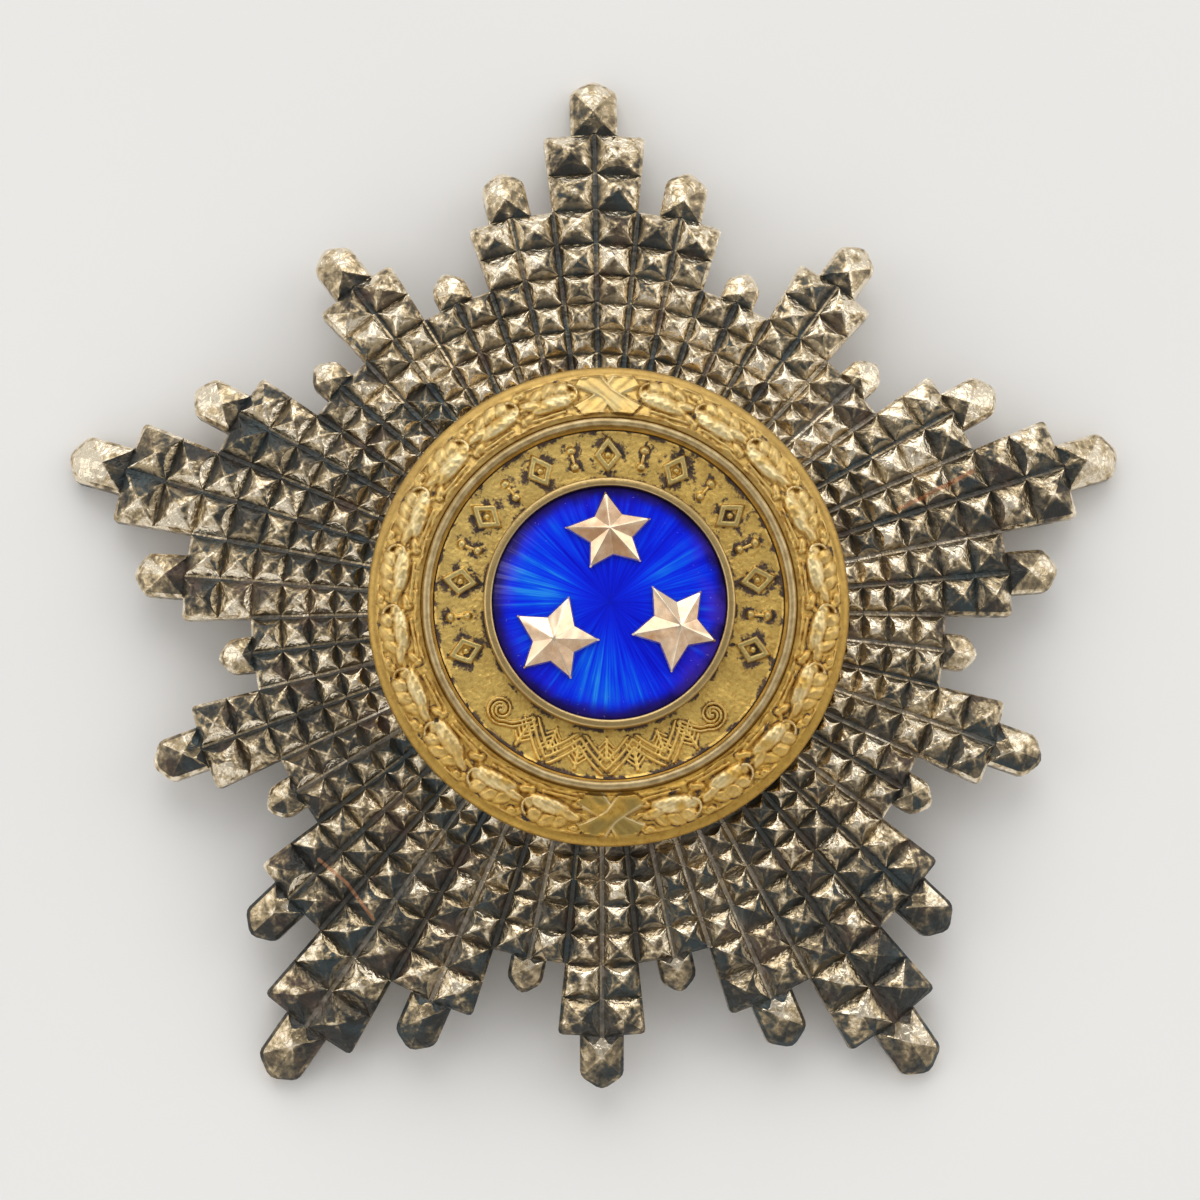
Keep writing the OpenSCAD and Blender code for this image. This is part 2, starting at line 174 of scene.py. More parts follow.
class Look(Nodes):
    """A procedural material under construction. Its own scale is millimetres."""

    colour = relief = None

    def __init__(self, name):
        self.material = bpy.data.materials.new(name)
        self.material.use_nodes = True
        super().__init__(self.material.node_tree)
        self.shader = self.tree.nodes["Principled BSDF"]
        self.place = self.vector("SCALE", self.node("TexCoord").outputs["Object"], scale=1 / MM)

    def value(self, name):
        return self.node("Attribute", attribute_name=name).outputs["Fac"]

    def noise(self, size, detail=3.0, roughness=0.55, distortion=0.0, at=None):
        """Noise from 0 to 1 whose spots are about `size` across."""
        made = self.node("TexNoise", at or self.place)
        settings = {"Scale": 1 / size, "Detail": detail, "Roughness": roughness, "Distortion": distortion}
        for name, value in settings.items():
            made.inputs[name].default_value = value
        return made.outputs[0]

    def ramp(self, value, *stops):
        """A colour for each value; stops are (place, (r, g, b))."""
        made = self.node("ValToRGB", value)
        marks = made.color_ramp.elements
        while len(marks) < len(stops):
            marks.new(0.5)
        for mark, (place, colour) in zip(marks, stops):
            mark.position = place
            mark.color = (*colour, 1)
        return made.outputs[0]

    def paint(self, share, colour):
        """Lays a colour over the material's colour, by its share from 0 to 1."""
        made = self.node("Mix", data_type="RGBA")
        self.put(share, made.inputs[0])
        for value, socket in ((self.colour, made.inputs[6]), (colour, made.inputs[7])):
            self.put((*value, 1) if isinstance(value, tuple) else value, socket)
        self.colour = made.outputs[2]

    def bump(self, height, depth, below=None):
        """Bump whose height of 0 to 1 is `depth` deep."""
        made = self.node("Bump")
        made.inputs["Distance"].default_value = depth * MM
        self.put(height, made.inputs["Height"])
        self.put(below, made.inputs["Normal"])
        return made.outputs[0]

    def set(self, sockets):
        for name, value in sockets.items():
            self.put(value, self.shader.inputs[name])

    def dent(self, height, depth):
        self.relief = self.bump(height, depth, self.relief)

    def finish(self, metallic, roughness):
        self.set({"Base Color": self.colour, "Normal": self.relief})
        self.set({"Metallic": metallic, "Roughness": roughness})
        return self.material


# Copper-coloured streaks on the silver, and patches where its tarnish is heavier or worn off
STREAKS = table(
    "start end half",
    ((-20.3, -20.9), (-18.3, -22.6), 0.17),
    ((-18.3, -22.6), (-16.4, -25.2), 0.17),
    ((22.0, 4.3), (27.5, 7.2), 0.22),
)
PATINA = table(
    "at reach strength",
    ((-20, -25), 11, 0.27),
    ((20, -26), 9, 0.16),
    ((-21, 9), 7, 0.05),
    ((2, 22), 9, -0.05),
    ((-14, 24), 8, -0.08),
    ((27, 5), 8, 0.03),
    ((17, 17), 9, -0.22),
    ((-30, 2), 7, -0.05),
    ((7, -24), 8, 0.12),
)


def tarnished_silver():
    """Silver whose film of tarnish is thin on worn facets and thick in the grooves, with painted light and
    shade on its facets from the cells' tones.
    """
    look = Look("tarnished_silver")
    ridge, tone, cut, groove_tan = (look.value(name) for name in ("ridge", "tone", "cut", "warm"))
    hollow = look.value("hollow")
    hollow = look.times(hollow, hollow)
    cloud = look.centred(look.noise(2.8, 3, 0.5, 0.4))
    patch = look.centred(look.noise(0.75, 2, 0.45, 0.5))
    speck = look.centred(look.noise(0.30, 2, 0.5, 0.4))
    tint = look.noise(3.2, 3, 0.5)
    mottle = look.scaled(cloud, 2.0, look.scaled(patch, 2.2, look.times(speck, 0.9)))
    mottle = look.times(mottle, look.scaled(cut, -0.72, 1.0))
    # The tone, with its painted light and shade, shows most in an oval at each facet's middle
    rounded = look.scaled(look.value("spot"), 0.75, 0.40)
    film = look.add(mottle, look.scaled(look.centred(tone), rounded, 0.43))
    film = look.add(film, look.value("patina"))
    film = look.scaled(look.times(hollow, look.math("SUBTRACT", 1.0, groove_tan)), 0.75, film)
    film = look.scaled(ridge, -0.72, film, clamp=True)
    look.colour = look.ramp(
        film,
        (0.0, (0.85, 0.75, 0.585)),
        (0.12, (0.70, 0.585, 0.415)),
        (0.28, (0.52, 0.41, 0.25)),
        (0.48, (0.28, 0.225, 0.145)),
        (0.68, (0.140, 0.115, 0.078)),
        (0.84, (0.066, 0.059, 0.045)),
        (1.0, (0.034, 0.034, 0.031)),
    )
    tan = look.times(look.times(hollow, groove_tan), look.level(patch, -0.12, 0.10, 0.25, 0.9))
    look.paint(tan, (0.36, 0.31, 0.25))
    dark = look.level(film, 0.5, 0.85)
    blue = look.times(dark, look.level(tint, 0.50, 0.66, 0, 0.6))
    look.paint(blue, (0.045, 0.070, 0.078))
    brown = look.times(look.level(film, 0.3, 0.7), look.level(tint, 0.46, 0.32, 0, 0.35))
    look.paint(brown, (0.15, 0.080, 0.050))
    for streak in STREAKS:
        look.paint(streak_share(look, **streak), (0.42, 0.21, 0.11))
    rough = look.scaled(ridge, 0.10, look.scaled(film, 0.12, 0.24))
    look.dent(look.noise(0.55, 2, 0.5, 0.4), 0.17)
    look.dent(look.noise(0.20, 2, 0.5), 0.008)
    return look.finish(look.scaled(dark, -0.5, 1.0), rough)


def streak_share(look, start, end, half):
    """1 on a straight streak and 0 away from it, in the row frame's plan."""
    run = Vector((*end, 0)) - Vector((*start, 0))
    off = look.vector("SUBTRACT", look.vector("MULTIPLY", look.place, (1, 1, 0)), (*start, 0))
    along = look.vector("DOT_PRODUCT", off, tuple(run))
    along = look.math("DIVIDE", along, run.length_squared, clamp=True)
    far = look.vector("DISTANCE", off, look.vector("SCALE", tuple(run), scale=along))
    return look.level(far, half, half * 0.4, 0, 0.85)


# Gilding where it is worn or painted lit, whole, stained or painted in shade, and dull on cut tops, and how
# rough and spotted it is
GILDING = {
    "gilt_wreath": {
        "bright": (0.95, 0.83, 0.50), "body": (0.77, 0.49, 0.11), "dark": (0.27, 0.135, 0.03),
        "dull": (0.30, 0.24, 0.09), "rough": 0.42, "grain": 0.008, "spots": 0.12,
    },
    "gilt_band": {
        "bright": (0.94, 0.77, 0.37), "body": (0.92, 0.64, 0.18), "dark": (0.25, 0.14, 0.06),
        "dull": (0.52, 0.42, 0.17), "rough": 0.40, "grain": 0.016, "spots": 0.15,
    },
    "gilt_rim": {
        "bright": (0.68, 0.51, 0.25), "body": (0.51, 0.36, 0.14), "dark": (0.13, 0.08, 0.05),
        "dull": (0.42, 0.33, 0.13), "rough": 0.32, "grain": 0.012, "spots": 0.45,
    },
}


def gilt(name):
    """Satin gilding: pale where worn and where light is painted on, dull on cut tops,
    brown in the hollows and where shade is painted on, and nearly black where old
    dirt has gathered."""
    look, kind = Look(name), GILDING[name]
    body, grain = kind["body"], kind["grain"]
    cloud = look.noise(1.3, 4, 0.6, 0.3)
    speck = look.noise(0.20, 3, 0.65, 0.5)
    look.colour = body
    look.paint(look.level(cloud, 0.35, 0.7, 0, 0.35), tuple(0.74 * c for c in body))
    mottle = look.level(look.noise(0.42, 4, 0.7, 0.6), 0.45, 0.66, 0, 0.62)
    look.paint(mottle, (0.62 * body[0], 0.50 * body[1], 0.40 * body[2]))
    look.paint(look.times(look.value("dull"), 0.85), kind["dull"])
    # crest carries wear and painted light, hollow carries patina and painted shade
    look.paint(look.times(look.value("crest"), 0.9), kind["bright"])
    stain = look.times(look.value("hollow"), look.level(cloud, 0.2, 0.55, 0.35, 1.0))
    stain = look.add(stain, look.level(speck, 0.60, 0.74, 0, kind["spots"]), clamp=True)
    look.paint(look.times(stain, 0.8), kind["dark"])
    dirt = look.level(look.scaled(look.centred(speck), 1.5, look.value("dirt")), 0.34, 0.80)
    soot = look.ramp(look.noise(0.5, 2), (0.35, (0.046, 0.033, 0.033)), (0.65, (0.125, 0.080, 0.058)))
    look.paint(dirt, soot)
    rough = look.scaled(look.add(stain, dirt), 0.2, kind["rough"])
    look.dent(look.noise(0.45, 3, 0.6), grain * 2)
    look.dent(look.noise(0.10, 2, 0.6), grain * 0.6)
    return look.finish(look.scaled(dirt, -0.5, 1.0), rough)


# Painted reflections: where the fluted metal below the enamel is painted lighter as if it flashed
PAINTED_FLASHES = table(
    "turn_deg half_deg gain",
    (176, 46, 0.40),
    (28, 28, 0.26),
    (270, 44, 0.20),
    (100, 26, 0.12),
)


def blue_enamel():
    """Clear blue over a fine sunburst cut in the metal below, with the flutes' flashes painted in as lighter
    blue.
    """
    look = Look("blue_enamel")
    off = look.vector("SUBTRACT", look.place, tuple(MEDAL))
    flat = look.vector("MULTIPLY", off, (1, 1, 0))
    way = look.vector("NORMALIZE", flat)
    reach = look.math("DIVIDE", look.vector("LENGTH", flat), ENAMEL_R)

    def around(turns, inward, level):
        """A place that moves round the disc at the same pace at every radius."""
        axes = look.node("SeparateXYZ", look.vector("SCALE", way, scale=turns)).outputs
        return look.node("CombineXYZ", axes[0], axes[1], look.scaled(reach, inward, level)).outputs[0]

    def towards(turn_deg, low, high, to_low=0.0, to_high=1.0):
        """A share that grows where the disc's radius turns to a direction."""
        facing = look.vector("DOT_PRODUCT", way, tuple(polar(1, turn_deg)))
        return look.level(facing, low, high, to_low, to_high)

    rays = look.noise(1.0, 4, 0.65, 0.05, around(17.0, 0.7, 0.0))
    wide = look.noise(1.0, 3, 0.5, 0, around(2.4, 1.4, 3.0))
    # Painted light: lighter blue in the set flash directions, with the sunburst's rays and wide cloudy
    # patches, weaker at the middle and near the edge
    painted_light = look.scaled(look.centred(wide), 1.1, 0.29)
    for painted_flash in PAINTED_FLASHES:
        painted_light = look.add(painted_light, towards(painted_flash["turn_deg"], cos_deg(painted_flash["half_deg"]), 1.0, 0, painted_flash["gain"]))
    painted_light = look.scaled(look.centred(rays), 2.1, painted_light)
    painted_light = look.times(painted_light, look.level(reach, 0.05, 0.55, 0.35, 1))
    painted_light = look.times(painted_light, look.level(reach, 0.99, 0.80, 0.45, 1), clamp=True)
    look.colour = look.ramp(
        painted_light,
        (0.0, (0.0, 0.004, 0.66)),
        (0.25, (0.0, 0.016, 0.88)),
        (0.50, (0.0, 0.042, 1.0)),
        (0.75, (0.0, 0.11, 1.0)),
        (1.0, (0.02, 0.30, 1.0)),
    )
    edge = look.add(reach, look.scaled(look.noise(1.6, 3), 0.12, -0.06))
    look.paint(look.level(edge, 0.86, 0.985, 0, 0.95), (0.010, 0.003, 0.09))
    violet = look.times(look.level(edge, 0.70, 0.92), towards(350, 0.6, 0.95, 0.10, 0.5))
    violet = look.times(violet, look.level(look.noise(2.2, 3), 0.38, 0.6))
    look.paint(violet, (0.085, 0.04, 0.64))
    # A lilac sheen painted on the bright flutes at the left edge
    lilac = look.times(look.level(edge, 0.76, 0.93), towards(160, 0.88, 0.98))
    lilac = look.times(lilac, look.level(rays, 0.46, 0.66, 0.06, 0.36))
    look.paint(lilac, (0.30, 0.26, 0.85))
    grit = look.times(look.level(look.noise(0.18, 1), 0.73, 0.79), look.level(reach, 0.55, 0.9))
    look.paint(look.times(grit, 0.45), (0.30, 0.26, 0.50))
    look.set({"Specular IOR Level": 0.05, "Coat Weight": 0.22, "Coat Roughness": 0.05})
    look.set({"Coat Normal": look.bump(look.noise(2.5, 2), 0.02)})
    look.dent(rays, 0.07)
    return look.finish(0.10, 0.42)


def rose_gold():
    look = Look("rose_gold")
    cloud = look.noise(0.8, 3, 0.55)
    # The cells' tone paints light and shade on the facets by the way each faces
    film = look.scaled(look.value("tone"), 0.30, look.scaled(cloud, 0.5, 0.10))
    look.colour = look.ramp(
        film, (0.30, (0.91, 0.735, 0.55)), (0.52, (0.93, 0.68, 0.46)), (0.76, (0.60, 0.345, 0.185))
    )
    look.paint(look.times(look.value("ridge"), 0.85), (1.0, 0.91, 0.74))
    look.paint(look.times(look.value("hollow"), 0.6), (0.22, 0.11, 0.06))
    look.dent(look.noise(1.5, 1), 0.09)
    look.dent(look.noise(0.10, 2), 0.002)
    return look.finish(1.0, look.scaled(cloud, 0.10, 0.21))


def plain_silver(name, cloud, stops, grain, depth, brushing, rough):
    """Silver with cloudy tarnish over fine marks, stretched where it is brushed."""
    look = Look(name)
    film = look.noise(*cloud)
    brushed = look.vector("MULTIPLY", look.place, brushing)
    look.dent(look.noise(grain, 3, 0.6, 0, brushed), depth)
    look.colour = look.ramp(film, *stops)
    return look.finish(1.0, look.scaled(film, *rough))


def silver_wire():
    stops = (0.3, (0.35, 0.25, 0.115)), (0.52, (0.54, 0.41, 0.21)), (0.72, (0.69, 0.565, 0.33))
    return plain_silver("silver_wire", (0.9, 4, 0.6), stops, 0.25, 0.012, (1, 1, 1), (0.2, 0.34))


def pin_silver():
    stops = (0.35, (0.16, 0.14, 0.11)), (0.55, (0.42, 0.38, 0.31)), (0.72, (0.66, 0.62, 0.54))
    return plain_silver("pin_silver", (1.8, 5, 0.6), stops, 0.12, 0.008, (1, 0.12, 1), (0.25, 0.2))


def pale_floor():
    look = Look("pale_floor")
    look.colour = look.ramp(look.noise(60, 3), (0.3, (0.93, 0.93, 0.93)), (0.7, (0.95, 0.95, 0.95)))
    return look.finish(0.0, 0.9)


# Pieces
def make_piece(node, points, faces, material, sharp_deg, points_worn_and_painted_light, faces_worn_and_painted_light):
    """A mesh of the row frame, in millimetres, that stands for a CAD node."""
    name = node + "_detail"
    mesh = bpy.data.meshes.new(name)
    mesh.from_pydata([tuple(c * MM for c in p) for p in points], [], faces)
    mesh.shade_smooth()
    mesh.set_sharp_from_angle(angle=math.radians(sharp_deg))
    for domain, worn in (("POINT", points_worn_and_painted_light), ("FACE", faces_worn_and_painted_light)):
        for key, numbers in worn.items():
            attribute = mesh.attributes.new(key, "FLOAT", domain)
            attribute.data.foreach_set("value", np.asarray(numbers, np.float32).ravel())
    mesh.materials.append(material)
    piece = bpy.data.objects.new(name, mesh)
    bpy.context.scene.collection.objects.link(piece)
    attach(piece, "root")
    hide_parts(node)
    return piece


class Facets:
    """Points and faces of a body of cut cells, with the wear and the painted light and
    shade of each. Every side of a cell is a corner and a few spots after it, in
    rings from the groove to the peak. A groove's wall is a lens: wide at its middle,
    nothing at its ends."""

    RINGS = (1.0, 0.76, 0.54, 0.36, 0.21, 0.10)
    SPOTS = (0.0, 0.25, 0.5, 0.75, 1.0)
    # For a corner and the spots after it: the lens, the oval at a facet's middle
    # # where its painted light and shade shows most, and how near the ridges of the
    # # two corners are
    LENS = (0.0, 0.0, 0.75, 1.0, 0.75, 0.0)
    OVAL = (0.0, 0.2, 0.85, 1.0, 0.85, 0.2)
    NEAR = (1.0, 0.55, 0.0, 0.0, 0.0, 0.55)
    STEPS = len(LENS)
    # How near a corner its last spots are, at most as a share of the side, and
    # how far a round or a ridged corner is drawn in
    JOIN, MOST = 0.12, 0.45
    ARC, BLUNT = 0.586, 0.5
    # How uneven a cut face is, how far the worn peak is rounded off, and the
    # # darkest painted shade
    WAVES, WORN_OFF, DARKEST = 0.03, 0.05, 0.92

    def __init__(self):
        self.points, self.faces, self.welded = [], [], {}
        self.points_worn_and_painted_light = {"ridge": [], "hollow": [], "spot": []}
        self.faces_worn_and_painted_light = {"tone": [], "cut": []}

    def add(self, p, ridge=0.0, hollow=0.0, spot=1.0, weld=False):
        key = tuple(round(c, 2) for c in p)
        if weld and key in self.welded:
            return self.welded[key]
        self.points.append(p)
        for numbers, value in zip(self.points_worn_and_painted_light.values(), (ridge, hollow, spot)):
            numbers.append(value)
        if weld:
            self.welded[key] = len(self.points) - 1
        return len(self.points) - 1

    def face(self, ids, tone=0.5, cut=0.0):
        self.faces.append(ids)
        self.faces_worn_and_painted_light["tone"].append(tone)
        self.faces_worn_and_painted_light["cut"].append(cut)

    def join(self, outer, inner, tones, cuts):
        for j, here in enumerate(outer):
            k, i = (j + 1) % len(outer), j // self.STEPS
            self.face((here, outer[k], inner[k], inner[j]), tones[i], cuts[i])

    def outline(self, corners, cuts, pulls):
        """Each corner, drawn in by its pull, then the spots on the side after it."""
        made = []
        for i, here in enumerate(corners):
            n = (i + 1) % len(corners)
            before, after = corners[i - 1], corners[n]
            length = (after - here).length
            start = here.lerp(after, min(self.MOST, cuts[i] / length))
            end = after.lerp(here, min(self.MOST, cuts[n] / length))
            last = here.lerp(before, min(self.MOST, cuts[i] / (before - here).length))
            made.append(here.lerp((start + last) / 2, pulls[i]))
            made += [start.lerp(end, spot) for spot in self.SPOTS]
        return made

    def inward(self, corners):
        """The level direction from each side into the cell."""
        sides = [after - here for here, after in zip(corners, corners[1:] + corners[:1])]
        return [Vector((-along.y, along.x, 0)).normalized() for along in sides]

    def inset(self, corners, distances):
        """The corners, each moved in by the distances of its two sides."""
        ways, made = self.inward(corners), []
        for i, here in enumerate(corners):
            before, after = ways[i - 1], ways[i]
            d0, d1 = distances[i - 1], distances[i]
            cross = before.x * after.y - before.y * after.x
            if abs(cross) < 0.2:
                move = (before + after).normalized() * (d0 + d1) / 2
            else:
                move = Vector((d0 * after.y - d1 * before.y, d1 * before.x - d0 * after.x, 0)) / cross
            made.append(here + move)
        return made

    def tarnish_and_painted_light(self, ways, wear_and_light, kind):
        """How tarnished the walls or facets of a cell are, with painted light on those facing one way and
        painted shade on those facing away.
        """
        made, side = [], wear_and_light["side" if kind == "wall" else "body"]
        for way in ways:
            c = math.cos(math.atan2(-way.y, -way.x) - math.radians(wear_and_light[kind + "_deg"]))
            # Painted shade on faces turned away from the light's direction, painted light on faces turned to
            # it
            dark = (self.DARKEST - side) * wear_and_light["deep"] * max(0.0, -c)
            painted_light = (side - 0.58 + 0.60 * wear_and_light[kind]) * max(0.0, c) ** 1.2
            made.append(side + dark - painted_light + random.uniform(-0.22, 0.20))
        return made

    def tones(self, ways, sides, wear_and_light):
        """How tarnished the walls and the facets of a cell are, with painted light
        and shade by the way each faces, each with how freshly they are cut."""
        walls, facets = (self.tarnish_and_painted_light(ways, wear_and_light, kind) for kind in ("wall", "facet"))
        shift = random.gauss(0, 0.11)
        walls = [tone + shift if side["lens"] else wear_and_light["bevel"] for tone, side in zip(walls, sides)]
        facets = [tone + shift for tone in facets]
        wall_cuts = [1.0 if side["lens"] else 0.2 for side in sides]
        facet_cuts = [min(0.6, max(wear_and_light["smooth"], (tone - 0.7) * 3)) for tone in facets]
        return (walls, wall_cuts), (facets, facet_cuts)

    def groove(self, border, lip, sides, rim):
        """The bottom and the lip of the grooves or bevels round a cell."""
        border_ids, lip_ids = [], []
        for j, (p, q) in enumerate(zip(border, lip)):
            i, k = divmod(j, self.STEPS)
            side = sides[i]
            drop = side["corner"] + (side["drop"] - side["corner"]) * (self.LENS[k] if side["lens"] else 1)
            if k == 0:
                drop = max(side["corner"], sides[i - 1]["corner"])
            edge, hollow = side["edge"] * rim, side["hollow"]
            border_ids.append(self.add(p - Vector((0, 0, drop)), edge, hollow, weld=True))
            lip_ids.append(self.add(q - Vector((0, 0, drop * side["lip_drop"])), edge, hollow * 0.94))
        return border_ids, lip_ids

    def cell(self, corners, peak, sides, ridged, rounded, ridge_w, wear_and_light, back=None):
        """One cell: grooves or bevels round a pyramid that is worn at its peak and,
        less and less, down its ridges. Returns the points of its border."""
        worn, ways = random.uniform(0.45, 1.0), self.inward(corners)
        reach = [(peak - p).dot(way) for p, way in zip(corners, ways)]
        normals = [(q - p).cross(peak - p) for p, q in zip(corners, corners[1:] + corners[:1])]

        def on_plane(p, i):
            n, q = normals[i], corners[i]
            return q.z - (n.x * (p.x - q.x) + n.y * (p.y - q.y)) / n.z

        cuts, pulls = [arc or self.JOIN for arc in rounded], [self.ARC if arc else 0 for arc in rounded]
        border = self.outline(corners, cuts, pulls)
        lip = self.outline(self.inset(corners, [side["lip"] for side in sides]), cuts, pulls)
        border_ids, lip_ids = self.groove(border, lip, sides, wear_and_light["rim"])
        walls, facets = self.tones(ways, sides, wear_and_light)
        self.join(border_ids, lip_ids, *walls)
        inner = self.inset(corners, [side["inset"] for side in sides])
        for i, p in enumerate(inner):
            p.z = on_plane(p, i)
        seed = Vector((peak.x * 3.1, peak.y * 2.7, 5.0))
        ring_ids = lip_ids
        for step, share in enumerate(self.RINGS):
            loop = [peak.lerp(p, share) for p in inner]
            width = ridge_w * (0.05 + 0.95 * (1 - share) ** 1.2)
            cuts, pulls = [], []
            for arc, ridge in zip(rounded, ridged):
                cuts.append(arc * share if arc else width if ridge else self.JOIN * share)
                pulls.append(self.ARC if arc else self.BLUNT if ridge else 0.0)
            along = worn * max(wear_and_light["along"], 0.95 - 1.8 * share)
            glow = worn * max(0.0, 1 - share / 0.28) ** 0.9
            fade = min(1.0, 0.15 + 1.9 * share, 2.6 - 1.8 * share)
            new_ids = []
            for j, p in enumerate(self.outline(loop, cuts, pulls)):
                i, k = divmod(j, self.STEPS)
                if k:
                    p = p + ways[i] * sides[i]["lens"] * reach[i] * share * self.LENS[k]
                    p.z = on_plane(p, i)
                near = self.NEAR[k] * ridged[(i + (k == self.STEPS - 1)) % len(corners)]
                wave = self.WAVES * noise.noise(p * 0.9 + seed)
                p = p + Vector((0, 0, wave - self.WORN_OFF * max(0.0, 1 - share / 0.3)))
                spot = 1 + (self.OVAL[k] * fade - 1) * wear_and_light["oval"]
                new_ids.append(self.add(p, max(near * along, glow), spot=spot))
            self.join(ring_ids, new_ids, *(facets if step else walls))
            ring_ids = new_ids
        top = self.add(peak - Vector((0, 0, 0.06)), worn)
        for j, here in enumerate(ring_ids):
            self.face((here, ring_ids[(j + 1) % len(ring_ids)], top), facets[0][j // self.STEPS])
        if back:
            self.close_back(border, border_ids, sides, back)
        return border_ids

    def close_back(self, border, border_ids, sides, back):
        """The underside below a cell, and the walls of its open sides."""
        low = [self.add_low(p, back) for p in border]
        self.face(tuple(reversed(low)))
        for j, here in enumerate(low):
            if sides[j // self.STEPS]["open"]:
                k = (j + 1) % len(low)
                self.face((border_ids[j], here, low[k], border_ids[k]))

    def add_low(self, p, back):
        """The point of the hollow back below a point."""
        return self.add(Vector((p.x, p.y, back(p))), 0.25, 0.1, weld=True)


def reach_of(p):
    return math.hypot(p.x, p.y)


def plan_deg(p):
    return math.degrees(math.atan2(p.y, p.x))


def dome_z(r):
    return CROWN_Z - DOME_K * r * r


def back_z(p):
    return max(0.0, dome_z(reach_of(p)) - WALL)


def ring_r(row):
    return STEP_R / ROW_GROWTH ** (ROW_COUNT - row)


def line_deg(line):
    return 90 + 360 / COLUMNS * line


def ray(index):
    return RAY_CYCLE[index % len(RAY_CYCLE)]


def rows_of(column):
    return ray(((column % COLUMNS) + 1) // 2)["rows"]


def grid_point(row, line):
    r = ring_r(row)
    z = dome_z(r) + (RAY_CAMBER * r / STAR_R if line % 2 == 0 else 0)
    return polar(r, line_deg(line), SEAT_Z if row == 0 else z)


def tip_corners(index):
    """Root on the ray's axis, right foot and shoulder, apex, left shoulder and foot."""
    kind = ray(index)
    rows, half = kind["rows"], kind["tip_w"] / 2
    share = half / (ring_r(rows) * sin_deg(360 / COLUMNS))
    root = grid_point(rows, 2 * index)
    feet = {side: root.lerp(grid_point(rows, 2 * index + side), share) for side in (-1, 1)}
    out = polar(1, line_deg(2 * index))
    left = Vector((-out.y, out.x, 0))
    shoulder_r = kind["tip_r"] - TIP_POINT
    lift = Vector((0, 0, dome_z(math.hypot(shoulder_r, half))))
    shoulders = {side: out * shoulder_r + left * half * side + lift for side in (-1, 1)}
    apex = out * kind["tip_r"] + Vector((0, 0, dome_z(kind["tip_r"])))
    return [root, feet[-1], shoulders[-1], apex, shoulders[1], feet[1]]


# Sides of a cell. lens: the width of the wall's lens, as a share of the way to
# the peak. drop, corner: how deep the groove is at its middle and at its ends.
# inset, lip, lip_drop: where the wall ends, and the lip at the groove's bottom.
# hollow, edge: the tarnish in the groove, and the wear of its edge.
COLUMN_SIDE, ROW_SIDE, OPEN_SIDE, GOLD_SIDE = table(
    "lens drop corner inset lip lip_drop hollow edge open",
    (0.36, 0.22, 0.14, 0.21, 0.15, 0.85, 1.0, 0.0, False),
    (0.40, 0.24, 0.10, 0.09, 0.05, 0.85, 0.78, 0.0, False),
    (0, 0.17, 0.17, 0.24, 0.08, 0.45, 0.0, 0.22, True),
    (0, 0.10, 0.10, 0.09, 0.03, 0.5, 0.1, 0.3, False),
)
# How tarnish and painted light lie on the cells near a direction, ray_deg.
# # wall_deg, facet_deg: the way that the groove walls and the facets painted lit
# # face; those facing the other way are painted in shade. wall, facet: how
# # strongly they are painted lit. side, body: their mean tarnish. inner: the least
# # share of the painted shade on the cells by the wreath. groove: how tan the
# # grooves are. along, rim: the wear of the ridges and open edges. oval: how
# # clear the oval of painted light and shade on a facet is. bevel: the tarnish
# # of a bevel.
WEAR_AND_LIGHT = table(
    "ray_deg wall_deg wall side facet_deg facet body inner groove along oval rim bevel smooth",
    (90, 90, 0.95, 0.34, 90, 0.50, 0.52, -0.40, 0.0, 0.10, 1.0, 1.0, 0.36, 0.0),
    (170, 292, 1.0, 0.66, 262, 0.42, 0.67, 0.25, 0.3, 0.05, 0.3, 1.0, 0.36, 0.0),
    (10, 80, 0.75, 0.53, 105, 0.60, 0.55, 0.0, 0.5, 0.05, 0.6, 1.0, 0.36, 0.0),
    (262, 75, 0.60, 0.54, 110, 0.66, 0.74, 0.25, 0.8, 0.05, 0.4, 0.1, 0.78, 0.0),
)
# Tips: stronger painted light on their lit faces, little mottle and lighter tarnish
TIP_WEAR_AND_LIGHT = {"facet": 0.85, "smooth": 0.85, "body": 0.47}
# Gold stars: facets and walls that face the top are painted lit, and those facing the bottom are painted in
# shade
GOLD_WEAR_AND_LIGHT = {
    "wall_deg": 90, "wall": 0.3, "side": 0.55, "facet_deg": 90, "facet": 0.5, "body": 0.55,
    "deep": 1.0, "along": 1.0, "oval": 0.5, "rim": 1.0, "bevel": 0.36, "smooth": 0.0,
}
RIDGE_W, GOLD_RIDGE_W = 0.40, 0.17
CELL_ARC, SHOULDER_ARC, APEX_ARC, GOLD_ARC = 0.35, 0.4, 0.5, 0.14


